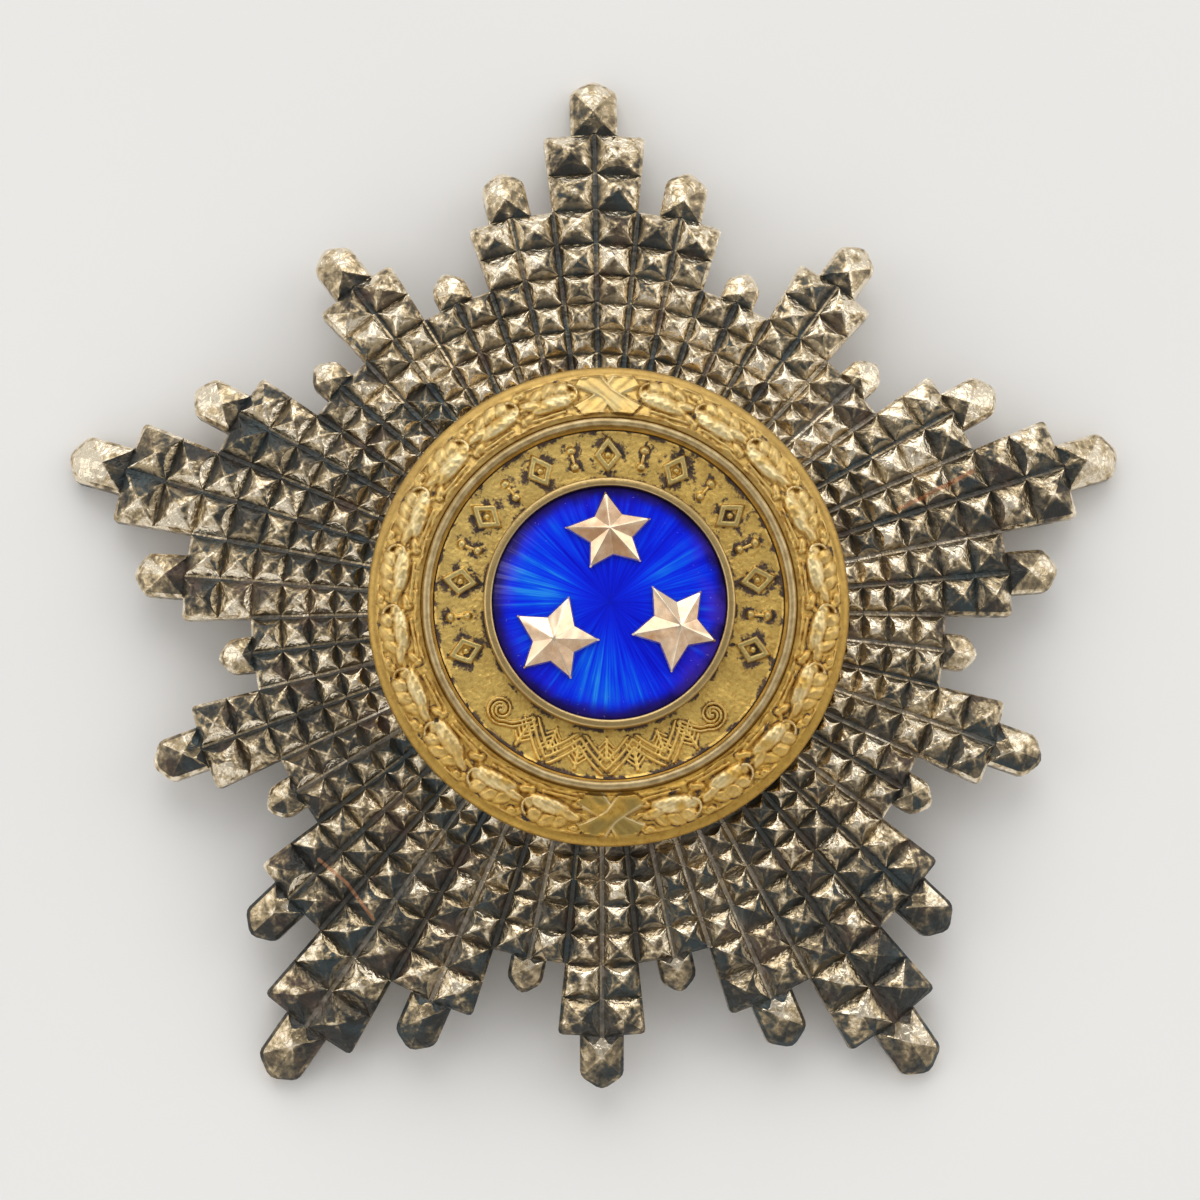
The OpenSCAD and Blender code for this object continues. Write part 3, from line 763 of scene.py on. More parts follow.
def star_cells():
    """Corners, peak, sides, ridges and roundings of each pyramid and tip."""
    for column in range(COLUMNS):
        rows, even = rows_of(column), column % 2 == 0
        foot = tip_corners((column + 1) // 2)[5 if even else 1]
        for row in range(rows):
            last = row == rows - 1
            low = OPEN_SIDE if not even and rows_of(column - 1) <= row else COLUMN_SIDE
            high = OPEN_SIDE if even and rows_of(column + 1) <= row else COLUMN_SIDE
            places = ((row, column), (row + 1, column), (row + 1, column + 1), (row, column + 1))
            corners, sides = [grid_point(*place) for place in places], [low, ROW_SIDE, high, ROW_SIDE]
            base = sum(p.z for p in corners) / 4
            ridged = [1, 1, 1, 1]
            rounded = [0, *(CELL_ARC if last and side["open"] else 0 for side in (low, high)), 0]
            if last:
                corners.insert(2, foot)
                sides.insert(2 if even else 1, OPEN_SIDE)
                ridged.insert(2, 0)
                rounded.insert(2, 0)
            depth = ring_r(row + 1) - ring_r(row)
            top = base + FACET_RISE * depth * random.uniform(0.93, 1.06)
            limit = SEAT_Z - 0.08 if row == 0 else CROWN_Z
            mid = (ring_r(row) + ring_r(row + 1)) / 2 + random.uniform(-0.08, 0.08) * depth
            peak = polar(mid, line_deg(column + 0.5) + random.uniform(-0.16, 0.16), min(top, limit))
            yield corners, peak, sides, ridged, rounded
    for index in range(RAY_COUNT):
        kind = ray(index)
        inner_r, outer_r = ring_r(kind["rows"]), kind["tip_r"] - TIP_POINT
        mid = (inner_r + outer_r) / 2 + random.uniform(-0.12, 0.12)
        top = dome_z(mid) + FACET_RISE * (outer_r - inner_r)
        peak = polar(mid, line_deg(2 * index) + random.uniform(-0.12, 0.12), top)
        sides = [ROW_SIDE, *[OPEN_SIDE] * 4, ROW_SIDE]
        rounded = [0, 0, SHOULDER_ARC, APEX_ARC, SHOULDER_ARC, 0]
        yield tip_corners(index), peak, sides, [0, 1, 1, 0, 1, 1], rounded


def patina_at(points):
    """How much heavier the tarnish is at each point of the row frame."""
    places = np.array([p[:2] for p in points])
    total = np.zeros(len(places))
    for patch in PATINA:
        far = np.hypot(*(places - patch["at"]).T)
        total += patch["strength"] * bell(far / patch["reach"])
    return total


def wear_and_light_at(deg):
    return min(WEAR_AND_LIGHT, key=lambda kind: abs(turn_from(kind["ray_deg"], deg)))


def groove_warmth(points):
    """How tan, rather than black, the groove nearest to each point is."""
    lines = [wear_and_light_at(line_deg(line))["groove"] * random.choice((0.2, 1.0, 1.3)) for line in range(COLUMNS)]
    return [lines[round((plan_deg(p) - 90) * COLUMNS / 360) % COLUMNS] for p in points]


def ray_star():
    random.seed(11)
    star = Facets()
    inner_loop = []
    for corners, peak, sides, ridged, rounded in star_cells():
        place, far = plan_deg(peak), reach_of(peak)
        wear_and_light = wear_and_light_at(place + random.uniform(-10, 10))
        if len(corners) == 6:
            # Tips are painted lit on the faces turned outward, or on those turned to the top on the lower
            # rays, and painted in shade on the rest
            wear_and_light = {**wear_and_light, **TIP_WEAR_AND_LIGHT, "wall_deg": place, "facet_deg": place if peak.y > -8 else 90}
        # The painted shade weakens on the rows by the wreath
        wear_and_light = {**wear_and_light, "deep": min(1.0, max(wear_and_light["inner"], (far - 20) / 11))}
        ids = star.cell(corners, peak, sides, ridged, rounded, RIDGE_W, wear_and_light, back_z)
        if far < ring_r(1) and len(corners) == 4:
            inner_loop.append(ids[3 * star.STEPS:] + ids[:1])
    hub = star.add(Vector((0, 0, SEAT_Z - 0.2)))
    low_hub = star.add(Vector((0, 0, dome_z(ring_r(0)) - WALL)))
    for run in inner_loop:
        for a, b in zip(run, run[1:]):
            star.face((hub, b, a))
            star.face((low_hub, *(star.add_low(star.points[k], back_z) for k in (a, b))))
    points = [p + AXIS for p in star.points]
    return make_piece(
        "ray_star", points, star.faces, tarnished_silver(), 22,
        {**star.points_worn_and_painted_light, "warm": groove_warmth(star.points), "patina": patina_at(points)},
        star.faces_worn_and_painted_light,
    )


def lathe(node, slot, r, z, material, closed=True, sharp_deg=50, **worn):
    """A ring round the medallion's axis: arrays of radius and height, with one
    row for each loop of its section and one column for each step round."""
    loops, steps = z.shape
    angle = round_steps(steps)
    r = np.broadcast_to(r, z.shape)
    points = np.stack([r * np.cos(angle) + MEDAL.x, r * np.sin(angle) + MEDAL.y, z], -1).reshape(-1, 3)
    faces = []
    for k in range(loops if closed else loops - 1):
        here, other = k * steps, (k + 1) % loops * steps
        for j in range(steps):
            n = (j + 1) % steps
            faces.append((here + j, other + j, other + n, here + n))
    return make_piece(node, points, faces, material, sharp_deg, worn, {})


def polar_grid(inner_r, outer_r, step, steps):
    """Radii and directions of a relief on a ring, and their X and Y."""
    r = np.arange(inner_r, outer_r, step)[:, None]
    deg = np.degrees(round_steps(steps))
    return r, deg, r * np.cos(np.radians(deg)), r * np.sin(np.radians(deg))


def loops_of(*values):
    """One number for each loop of a section, the same all round."""
    return np.array(values)[:, None]


def stacked(before, middle, after):
    """A relief's rows between the plain loops before and after it. Both are given
    as the count of the loops and what they are."""
    ends = [np.broadcast_to(values, (count, middle.shape[1])) for count, values in (before, after)]
    return np.vstack([ends[0], middle, ends[1]])


def wiggle(x, y, size, seed, count=36):
    """Smooth seeded noise of about -1 to 1, from waves of about that size."""
    draw = np.random.default_rng(seed)
    total = np.zeros(np.shape(x))
    for _ in range(count):
        turn, phase = draw.uniform(0, 2 * math.pi, 2)
        wave = 2 * math.pi / (size * draw.uniform(0.6, 1.8))
        total += np.cos(wave * (x * math.cos(turn) + y * math.sin(turn)) + phase)
    return total * 1.4 / math.sqrt(count)


def spread(height, joined, times):
    """A relief joined with its neighbours, round and then across, so many times."""
    for _ in range(times):
        height = joined([height, np.roll(height, 1, 1), np.roll(height, -1, 1)])
        padded = np.pad(height, ((1, 1), (0, 0)), "edge")
        height = joined([padded[:-2], padded[1:-1], padded[2:]])
    return height


def relief_wear(height, crest_h, hollow_h, reach):
    """Crests and hollows of a relief on a polar grid, each from 0 to 1."""
    proud = height - spread(height, lambda near: sum(near) / 3, reach)
    return share_of(proud / crest_h), share_of(-proud / hollow_h)


def outline_wear(height):
    """A fine line on the ground right round every raised figure, from 0 to 1."""
    near = spread(height, np.maximum.reduce, 2)
    return share_of((near - 0.12) / 0.12) * share_of(1 - height / 0.10)


def knob(along, across, long, wide, rise):
    return rise * np.sqrt(share_of(1 - (along / long) ** 2 - (across / wide) ** 2))


def bead(far, half, rise):
    """A rounded raised line, from the distance to its middle."""
    return rise * np.sqrt(share_of(1 - (far / half) ** 2))


def flat_top(far, half, rise):
    """A raised figure with steep sides, from the distance to its middle line."""
    return rise * share_of((half + 0.05 - far) / 0.10)


def segment_far(x, y, a, b):
    """Distance of each point from the segment between a and b."""
    dx, dy = b[0] - a[0], b[1] - a[1]
    t = share_of(((x - a[0]) * dx + (y - a[1]) * dy) / (dx * dx + dy * dy))
    return np.hypot(x - a[0] - t * dx, y - a[1] - t * dy)


def turned(along, across, deg):
    """Places along and across a line that turns by an angle."""
    c, s = cos_deg(deg), sin_deg(deg)
    return along * c + across * s, across * c - along * s


LEAF_R, LEAF_COUNT = 15.5, 10
BRANCH_START = 8.0
WREATH_STEPS, WREATH_STEP_R = 1320, 0.068
# The rounded lobes of an oak leaf, whose places are from the leaf's middle, along
# the branch and outward. cream: how far a lobe is worn.
LEAF_LOBES = table(
    "at half rise turn cream",
    ((0.35, -0.46), (1.72, 0.66), 0.60, 4, 1.0),
    ((-1.15, -0.24), (1.05, 0.40), 0.40, -12, 0.5),
    ((-0.75, 0.36), (0.70, 0.44), 0.32, 35, 0.15),
    ((0.15, 0.52), (0.80, 0.50), 0.40, 32, 0.2),
    ((1.10, 0.46), (0.72, 0.52), 0.45, 25, 0.35),
    ((1.72, -0.12), (0.48, 0.46), 0.44, 10, 0.4),
)
# The leaf's stalk and the stems along the borders, as joined points
STEMS = [
    [(-3.1, 0.15), (-2.3, -0.25), (-1.6, -0.30)],
    [(-2.7, -0.65), (-1.9, -1.28), (-0.6, -1.36), (0.9, -1.28)],
    [(-2.6, 0.55), (-2.1, 1.02), (-1.0, 1.12)],
]
# Where old dirt stays, by the leaf's tip and by its stalk
DIRT_SPOTS = table(
    "at half",
    ((1.75, 0.98), (0.42, 0.13)),
    ((0.9, 1.08), (0.36, 0.11)),
    ((2.05, -0.62), (0.22, 0.24)),
    ((0.5, -1.26), (0.40, 0.12)),
)
# The crossed ribbons of a tie: how high each of the two lies and how far it
# reaches from the tie's middle. Each tie's direction, its turn and its wear.
TIE_TOPS, TIE_REACH = (0.16, 0.25), 2.3
TIES = (90, 42, 0.12), (270, -42, 0)


def oak_leaf(along, across, draw):
    """Height of a leaf of rounded lobes with fine veins and a curled tip, and how
    far each place on it is worn to cream."""
    height, cream = np.zeros(np.shape(along)), np.zeros(np.shape(along))
    for lobe in LEAF_LOBES:
        half = [h * draw.uniform(0.92, 1.07) for h in lobe["half"]]
        a, c = turned(along - lobe["at"][0], across - lobe["at"][1], lobe["turn"] + draw.uniform(-7, 7))
        q = (a / half[0]) ** 2 + (c / half[1]) ** 2
        height = np.maximum(height, lobe["rise"] * draw.uniform(0.92, 1.08) * share_of(1 - q) ** 0.6)
        cream = np.maximum(cream, lobe["cream"] * share_of((1 - q) * 2.2))
    veins = 0.022 * np.cos(8.5 * along - 7.0 * np.abs(across + 0.05) + draw.uniform(0, 6))
    veins = veins + 0.010 * np.cos(15 * along - 5.0 * across + draw.uniform(0, 6))
    height = height + veins * share_of(height * 4 - 0.4)
    curl = np.abs(np.hypot(along - 1.50, across - 0.12) - 0.62)
    curl = np.where(along > 1.62, bead(curl, 0.13, 0.48), 0)
    streaks = 0.72 + 0.28 * np.cos(23 * across + 3.0 * along + draw.uniform(0, 6))
    return np.maximum(height, curl), np.maximum(cream * streaks, 0.8 * (curl > 0.3))


def spray(along, across, draw):
    """Height and cream of one leaf with its berries, its acorn and its stems."""
    a, c = turned(along, across, draw.uniform(-5, 3))
    leaf, cream = oak_leaf(a, c - draw.uniform(-0.05, 0.05), draw)
    cream = cream * draw.uniform(0.75, 1.0)
    parts = [
        leaf,
        knob(along + 1.85, across - draw.uniform(0.72, 0.84), 0.36, 0.27, 0.32),
        knob(along + 2.3, across - 0.55, 0.26, 0.2, 0.24),
    ]
    acorn = turned(along + draw.uniform(1.75, 1.95), across + 1.0, draw.uniform(10, 30))
    parts += [knob(*acorn, 0.56, 0.33, 0.42), knob(acorn[0] + 0.42, acorn[1], 0.26, 0.38, 0.36)]
    for stem in STEMS:
        parts += [bead(segment_far(along, across, *ends), 0.13, 0.20) for ends in zip(stem, stem[1:])]
    return np.maximum.reduce(parts), cream


class WreathRelief:
    """The wreath's casting on a polar grid: its height over the bed, and from 0 to
    1 the dirt on it, where its ribbons lie and how far it is worn to cream."""

    def __init__(self, r, deg):
        self.r, self.deg = r, deg
        self.height, self.dirt, self.tied, self.cream = np.zeros((4, *np.broadcast(r, deg).shape))

    def branches(self):
        """Two branches of leaves, from the tie at the bottom to the tie at the top."""
        span = 180 - 2 * BRANCH_START
        draw = random.Random(5)
        for side in (1, -1):
            for n in range(LEAF_COUNT):
                middle = BRANCH_START + span * (n + 0.5) / LEAF_COUNT + draw.uniform(-0.4, 0.4)
                off = turn_from(270 + side * middle, self.deg)
                along, across = side * np.radians(off) * self.r, self.r - LEAF_R + 0 * off
                leaf, cream = spray(along, across, draw)
                self.height = np.maximum(self.height, leaf)
                self.cream = np.maximum(self.cream, cream)
                self.dirty(along, across, draw)

    def dirty(self, along, across, draw):
        """Leaves old dirt beside one leaf."""
        for spot in DIRT_SPOTS:
            size, shift = draw.uniform(-0.2, 1.15), draw.uniform(-0.2, 0.2)
            a, c = along - spot["at"][0] - shift, across - spot["at"][1]
            q = np.hypot(a / spot["half"][0], c / spot["half"][1])
            self.dirt = np.maximum(self.dirt, share_of(1.5 - q) * min(1, max(0, size)))

    def tie(self, middle, over, worn):
        """Two crossed ribbons over the bare bed between the branches."""
        off = np.radians(turn_from(middle, self.deg)) * self.r
        across = self.r - (BED_INNER_R + BED_OUTER_R) / 2
        self.height = np.where(np.abs(off) < 1.9, np.minimum(self.height, 0.10), self.height)
        for turn, top in zip((-over, over), TIE_TOPS):
            a, c = turned(off, across, turn)
            q = np.abs(c) / (0.58 + 0.22 * np.abs(a) ** 1.3)
            inside = (q < 1) & (np.abs(a) < TIE_REACH)
            band = top * share_of((1 - q) / 0.25) ** 0.7 + 0.06 * bell((q - 0.80) / 0.10)
            band = band - 0.05 * np.cos(a * 1.3) + 0.022 * np.cos(9.5 * c + 0.8)
            self.height = np.where(inside, np.maximum(self.height * (q > 0.9), band), self.height)
            self.tied = np.maximum(self.tied, inside * 1.0)
            rim = inside * bell((q - 0.86) / 0.10)
            self.cream = np.where(inside, np.maximum(rim * 0.8, worn), self.cream)
        side = np.abs(np.abs(off) - 1.35) + np.abs(across) * 0.9
        self.dirt = np.maximum(self.dirt, np.clip(1.1 - side / 0.40, 0, 0.55)) * (1 - self.tied)


def wreath_wear(casting, top, x, y):
    """Crests, hollows, dirt and dull places of the wreath, with painted light towards
    the top and painted shade towards the bottom, and how near the top of the
    medallion each place is."""
    tied, free = casting.tied, 1 - casting.tied
    proud, hollow = relief_wear(top, 0.09, 0.10, 4)
    patch = share_of(0.80 + 0.4 * wiggle(x, y, 1.6, 12))
    # Painted light from above: upper makes the crests paler towards the top; painted shade: the hollows and
    # dirt heavier towards the bottom. The top is also duller.
    upper = share_of(0.55 + (y - 0.15 * x) / 24)
    crest = share_of(0.95 * casting.cream * patch + 0.22 * proud * free + 0.18 * upper)
    olive = tied * np.clip(0.45 + 0.5 * wiggle(x, y, 2.2, 14) - 0.35 * (y > 0), 0, 0.8)
    black = share_of(0.45 + 1.1 * wiggle(x, y, 1.1, 15))
    lines = outline_wear(casting.height) * free
    hollow = np.maximum(hollow * (1 - 0.7 * tied), 0.95 * lines) * (1 - 0.25 * upper) + 0.10 * (1 - upper)
    dirt = np.maximum(casting.dirt, 0.80 * lines * black) * (1 - 0.30 * upper)
    return crest, hollow, dirt, np.maximum(olive, 0.16 * upper), upper


def wreath_ring():
    r, deg, x, y = polar_grid(LEDGE_R + 0.08, BED_OUTER_R + 0.02, WREATH_STEP_R, WREATH_STEPS)
    slope = (BED_HIGH_Z - BED_LOW_Z) / (BED_OUTER_R - BED_INNER_R)
    bed = BED_LOW_Z + slope * np.clip(BED_OUTER_R - r, 0, BED_OUTER_R - BED_INNER_R)
    fade = share_of((r - LEDGE_R - 0.12) / 0.25) * share_of((BED_OUTER_R + 0.02 - r) / 0.12)
    casting = WreathRelief(r, deg)
    casting.branches()
    for tie in TIES:
        casting.tie(*tie)
    casting.height = casting.height * fade
    fill = 0.08 * share_of(np.abs(wiggle(x, y, 1.3, 6))) * share_of(1 - casting.height / 0.15)
    ground = fill + 0.015 * wiggle(x, y, 1.1, 3) + 0.004 * wiggle(x, y, 0.4, 4)
    ground = ground * (1 - 0.8 * casting.tied)
    wave = 0.05 * wiggle(x, y, 1.8, 9)
    border = 0.05 * bell((r - BED_OUTER_R + 0.10 + wave) / 0.08)
    border = border + 0.09 * bell((r - BED_INNER_R - 0.04 + wave) / 0.09)
    top = bed + casting.height + ground * fade + border
    edge_r = WREATH_R - loops_of(0.54, 0.42, 0.30, 0.19, 0.10, 0.03, 0, 0, 0.04)
    edge_z = CROWN_Z + loops_of(0.70, 0.68, 0.63, 0.56, 0.47, 0.36, 0.24, 0.10, 0.0)
    edge_x, edge_y = edge_r * np.cos(np.radians(deg)), edge_r * np.sin(np.radians(deg))
    edge_z = edge_z + 0.012 * wiggle(edge_x, edge_y, 5, 8)
    edge_z[-1] = BASE_Z
    wall_r = BAND_R + PART_GAP
    first_r = loops_of(wall_r, wall_r, BAND_R + 0.12, LEDGE_R - 0.02, LEDGE_R)
    first_z = loops_of(BASE_Z, LEDGE_Z - 0.06, LEDGE_Z, LEDGE_Z, BED_HIGH_Z - 0.03)

    def ring(first, middle, edge):
        return stacked((len(first_r), first), middle, (len(edge_r), edge))

    crest, hollow, dirt, dull, upper = wreath_wear(casting, top, x, y)
    return lathe(
        "wreath_ring", "gilt_wreath", ring(first_r, r, edge_r), ring(first_z, top, edge_z),
        gilt("gilt_wreath"), sharp_deg=60,
        # The outer edge gets painted light towards the top, and is duller there
        crest=ring(0, crest, 0.16 * upper[-1]),
        hollow=ring(loops_of(0, 0, 0.8, 0.8, 0.8), hollow, 0.40),
        dirt=ring(0, dirt, 0),
        dull=ring(0, dull, 0.10 + 0.14 * upper[-1]),
    )


def wire_ring():
    steps, loops = 480, 16
    turn = np.radians(np.linspace(90, -270, loops, endpoint=False))[:, None]
    angle = round_steps(steps)
    wave = 0.012 * np.cos(7 * angle + 1) + 0.008 * np.cos(23 * angle)
    half = WIRE_D / 2 - 0.02
    r = WIRE_R + wave + half * np.cos(turn)
    z = LEDGE_Z + SEAT_GAP + WIRE_D / 2 + half * np.sin(turn) + 0 * angle
    return lathe("wire_ring", "silver_wire", r, z, silver_wire())


BAND_STEPS, BAND_STEP_R = 1180, 0.066
FIGURES = {"count": 17, "first_deg": -18, "apart_deg": 13.5}
LOZENGE = {"outward": 1.3, "along": 1.0, "line": 0.19}
ZIGZAG = {"crest_deg": 246.9, "half_turn": 10.8, "from": 236.1, "to": 300.9}
ZIGZAG_MID_R, ZIGZAG_RISE, ZIGZAG_APART = 10.85, 1.05, 0.62
# The twigs beside each spine of the zigzag: where one leaves it and ends
TWIGS, TWIG_REACH = ((-1.05, -0.50), (-0.65, -0.10), (-0.25, 0.30), (0.15, 0.70)), 0.55
# The curl at each end of the zigzag: where its line starts and comes in, outward
# and along the band away from the zigzag, and the spiral that it winds into
SCROLL_LEAD = [(-0.9, -2.3), (-0.25, -1.8), (0.3, -1.3)]
SCROLL = {"from_deg": -55, "step_deg": 20, "steps": 29, "r": 0.96, "wind": 0.032}
SCROLL_PLACES = ((224, -1), (312.5, 1))


def scroll_line():
    """Points of the curl, from its lead into the middle of its spiral."""
    turns = [math.radians(SCROLL["from_deg"] + SCROLL["step_deg"] * n) for n in range(SCROLL["steps"])]
    radii = [SCROLL["r"] - SCROLL["wind"] * n for n in range(SCROLL["steps"])]
    return SCROLL_LEAD + [(r * math.cos(turn), r * math.sin(turn)) for r, turn in zip(radii, turns)]


class BandRelief:
    """The band's raised ornament on a polar grid: its height, how near each place
    is to it, its flat tops and their edges."""

    def __init__(self, r, deg):
        self.r, self.deg = r, deg
        self.height, self.near, self.tops, self.edges = np.zeros((4, *np.broadcast(r, deg).shape))

    def local(self, middle):
        """Places from a direction on the band's middle: outward and along the band."""
        mid = (RIM_R + BAND_R) / 2
        return self.r - mid, np.radians(turn_from(middle, self.deg)) * mid

    def line(self, far, half, rise, reach, dirty=1.0):
        """Raises a rounded figure, from the distance to its middle line."""
        self.height = np.maximum(self.height, bead(far, half, rise))
        self.near = np.maximum(self.near, dirty * share_of(1 - (far - half) / reach))

    def plate(self, far, half, rise, reach):
        """Raises a figure with a flat top."""
        self.height = np.maximum(self.height, flat_top(far, half, rise))
        self.near = np.maximum(self.near, share_of(1 - (far - half) / reach))
        self.tops = np.maximum(self.tops, share_of((half - 0.03 - far) / 0.06))
        self.edges = np.maximum(self.edges, bell((far - half + 0.01) / 0.05))

    def figures(self):
        """Lozenges round a bead, in turn with pairs of beads."""
        for n in range(FIGURES["count"]):
            x, y = self.local(FIGURES["first_deg"] + FIGURES["apart_deg"] * n)
            if n % 2 == 0:
                far = np.abs(x) / LOZENGE["outward"] + np.abs(y) / LOZENGE["along"] - 1
                self.plate(np.abs(far * 0.79 + 0.19), LOZENGE["line"], 0.32, 1.0)
                self.line(np.hypot(x, y), 0.24, 0.30, 0.3)
            else:
                for shift in (-0.62, 0.62):
                    self.line(np.hypot(x - shift, y), 0.33, 0.30, 0.75)
                self.line(segment_far(x, y, (-0.2, 0), (0.2, 0)), 0.12, 0.18, 0.3)

    def zigzag(self):
        """Three lines side by side, and a spine with twigs in each bend."""
        place = (self.deg - ZIGZAG["crest_deg"]) / ZIGZAG["half_turn"]
        line_r = ZIGZAG_MID_R + ZIGZAG_RISE * (1 - 2 * np.abs((place + 1) % 2 - 1))
        past = np.maximum(0, np.maximum(ZIGZAG["from"] - self.deg, self.deg - ZIGZAG["to"])) * 0.18
        past = np.maximum(past, np.maximum(9.6 - self.r, self.r - 12.2) * 1.5)
        for k in (-1, 0, 1):
            far = np.hypot(np.abs(self.r - line_r - k * ZIGZAG_APART) * 0.7, np.maximum(past, 0))
            self.line(far, 0.13, 0.18, 0.40, 0.7)
        for n in range(-1, 6):
            x, y = self.local(ZIGZAG["crest_deg"] + n * ZIGZAG["half_turn"])
            way, ends = (1, ((-1.15, 0), (0.5, 0))) if n % 2 == 0 else (-1, ((-0.4, 0), (1.3, 0)))
            self.line(segment_far(x, y, *ends), 0.12, 0.20, 0.4, 0.7)
            for start, end in TWIGS:
                twig = segment_far(x * way, np.abs(y), (start, 0), (end, TWIG_REACH))
                self.line(twig, 0.09, 0.16, 0.35, 0.75)

    def scrolls(self):
        points = scroll_line()
        for middle, away in SCROLL_PLACES:
            x, y = self.local(middle)
            far = [segment_far(x, y * away, *ends) for ends in zip(points, points[1:])]
            self.line(np.abs(np.minimum.reduce(far) - 0.15), 0.11, 0.22, 0.35, 0.6)


def centre_band():
    r, deg, x, y = polar_grid(RIM_R - 0.35, BAND_R - 0.05, BAND_STEP_R, BAND_STEPS)
    band = BandRelief(r, deg)
    band.figures()
    band.zigzag()
    band.scrolls()
    relief, near, tops = band.height, band.near, band.tops
    ground = 0.004 * wiggle(x, y, 0.55, 21) + 0.003 * wiggle(x, y, 0.22, 22) + 0.018 * wiggle(x, y, 2.6, 23)
    fillet = 0.16 * share_of((r - BAND_R + 0.22) / 0.2) ** 2
    top = BAND_Z + relief + ground + fillet
    crest, hollow = relief_wear(top, 0.10, 0.09, 3)
    patch = share_of(0.52 + 0.70 * wiggle(x, y, 1.9, 31) + 0.35 * wiggle(x, y, 0.6, 32))
    low = share_of(1 - relief / 0.14)
    walls = share_of(1 - np.minimum(BAND_R - r, (r - RIM_R) * 1.3) / 0.60)
    dirt = share_of(np.maximum(near, 0.95 * walls) * low * (0.30 + 0.85 * patch))
    # Painted light towards the upper left, added to the crests, and painted shade towards the right, added to
    # the hollows
    painted_light_upper_left = share_of((0.6 * y - 0.8 * x) / 12)
    brown = share_of((0.96 * x + 0.26 * y) / 12)
    crest = 0.45 * crest * (1 - tops) + band.edges * share_of(relief / 0.2) + 0.18 * painted_light_upper_left

    def ring(under, middle, outer):
        return stacked((2, under), middle, (2, outer))

    return lathe(
        "centre_band", "gilt_band", ring(RIM_R - 0.5, r, BAND_R),
        ring(loops_of(BASE_Z, BAND_Z - 0.02), top, loops_of(BAND_Z + 0.1, BASE_Z)),
        gilt("gilt_band"), sharp_deg=60,
        crest=ring(0, share_of(crest), 0),
        # The hollows take the painted shade on the right
        hollow=ring(1, hollow * 0.6 + 0.22 * brown, 1),
        dirt=ring(0, dirt, 1),
        dull=ring(0, np.maximum(tops, 0.8 * (relief > 0.2)), 0),
    )


def enamel_rim():
    """The collar: its section from the inside over the top to the outside, with
    the wear and the dirt of each loop."""
    inner, low, steps = ENAMEL_R + PART_GAP, BAND_Z + SEAT_GAP, 400
    section = table(
        "r z worn dirty",
        (inner, low, 0, 0.8),
        (inner, RIM_TOP_Z - 0.14, 0.5, 0.3),
        (inner + 0.03, RIM_TOP_Z - 0.06, 1, 0),
        (inner + 0.10, RIM_TOP_Z - 0.01, 1, 0),
        (inner + 0.20, RIM_TOP_Z, 0.6, 0),
        (RIM_R - 0.20, RIM_TOP_Z - 0.01, 0.6, 0),
        (RIM_R - 0.09, RIM_TOP_Z - 0.05, 1, 0),
        (RIM_R - 0.02, RIM_TOP_Z - 0.15, 0.8, 0.1),
        (RIM_R, RIM_TOP_Z - 0.3, 0.2, 0.3),
        (RIM_R, low + 0.3, 0, 0.9),
        (RIM_R, low, 0, 1),
    )
    angle = round_steps(steps)
    r, z, worn, dirty = (loops_of(*(row[key] for row in section)) + 0 * angle for key in section[0])
    z[2:8] -= 0.015 * (1 + np.cos(5 * angle + 2)) / 2 + 0.01 * (1 + np.cos(17 * angle)) / 2
    return lathe("enamel_rim", "gilt_rim", r, z, gilt("gilt_rim"), crest=worn * 0.6, hollow=dirty)


def enamel_z(r):
    dome_r = (ENAMEL_R**2 + ENAMEL_SAG**2) / (2 * ENAMEL_SAG)
    return ENAMEL_EDGE_Z + ENAMEL_SAG - dome_r + np.sqrt(dome_r**2 - r * r)


def enamel_disc():
    middle, steps = 0.001, 256
    r = loops_of(middle, *np.linspace(0.3, ENAMEL_R - 0.15, 40), ENAMEL_R - 0.06, ENAMEL_R)
    z = enamel_z(r)
    z[-1] -= 0.05
    under = loops_of(BAND_Z + SEAT_GAP, BAND_Z + SEAT_GAP)
    r, z = np.vstack([r, loops_of(ENAMEL_R, middle)]), np.vstack([z, under]) + np.zeros((1, steps))
    return lathe("enamel_disc", "blue_enamel", r, z, blue_enamel(), closed=False, sharp_deg=40)


# Each gold star's place, its first tip's direction, where its peak is from its
# middle, and for each tip its share of the mean reach and its turn
GOLD_STARS = table(
    "name at first_deg peak tips",
    ("top", (4.96, 88.7), 96.8, (-0.07, 0.28), [(0.97, 0), (1.06, 4), (0.94, -2), (0.96, 3), (0.98, -5)]),
    ("left", (4.71, 214.6), 74.3, (-0.16, -0.02), [(1.04, -2), (1.04, 1), (0.98, 3), (0.96, 1), (1.01, -3)]),
    ("right", (4.99, 340.5), 50.1, (0.35, -0.13), [(0.98, 3), (1.05, -1), (1.04, -2), (1.09, -2), (0.98, 0)]),
)


def on_enamel(p, rise=0.0):
    """The point of the enamel below p, and so much above the stars' seat."""
    return Vector((p.x, p.y, float(enamel_z(reach_of(p))) + SEAT_GAP + rise))


def gold_corner(place, n):
    """Corner n of a gold star: tips are even, inner corners odd."""
    share, turn = place["tips"][n // 2]
    if n % 2:
        next_share, next_turn = place["tips"][(n // 2 + 1) % 5]
        share, turn = GOLD_INNER * (share + next_share) / 2, (turn + next_turn) / 2
    out = polar(GOLD_R * share, place["first_deg"] + 36 * n + turn)
    return on_enamel(polar(*place["at"]) + out, GOLD_EDGE)


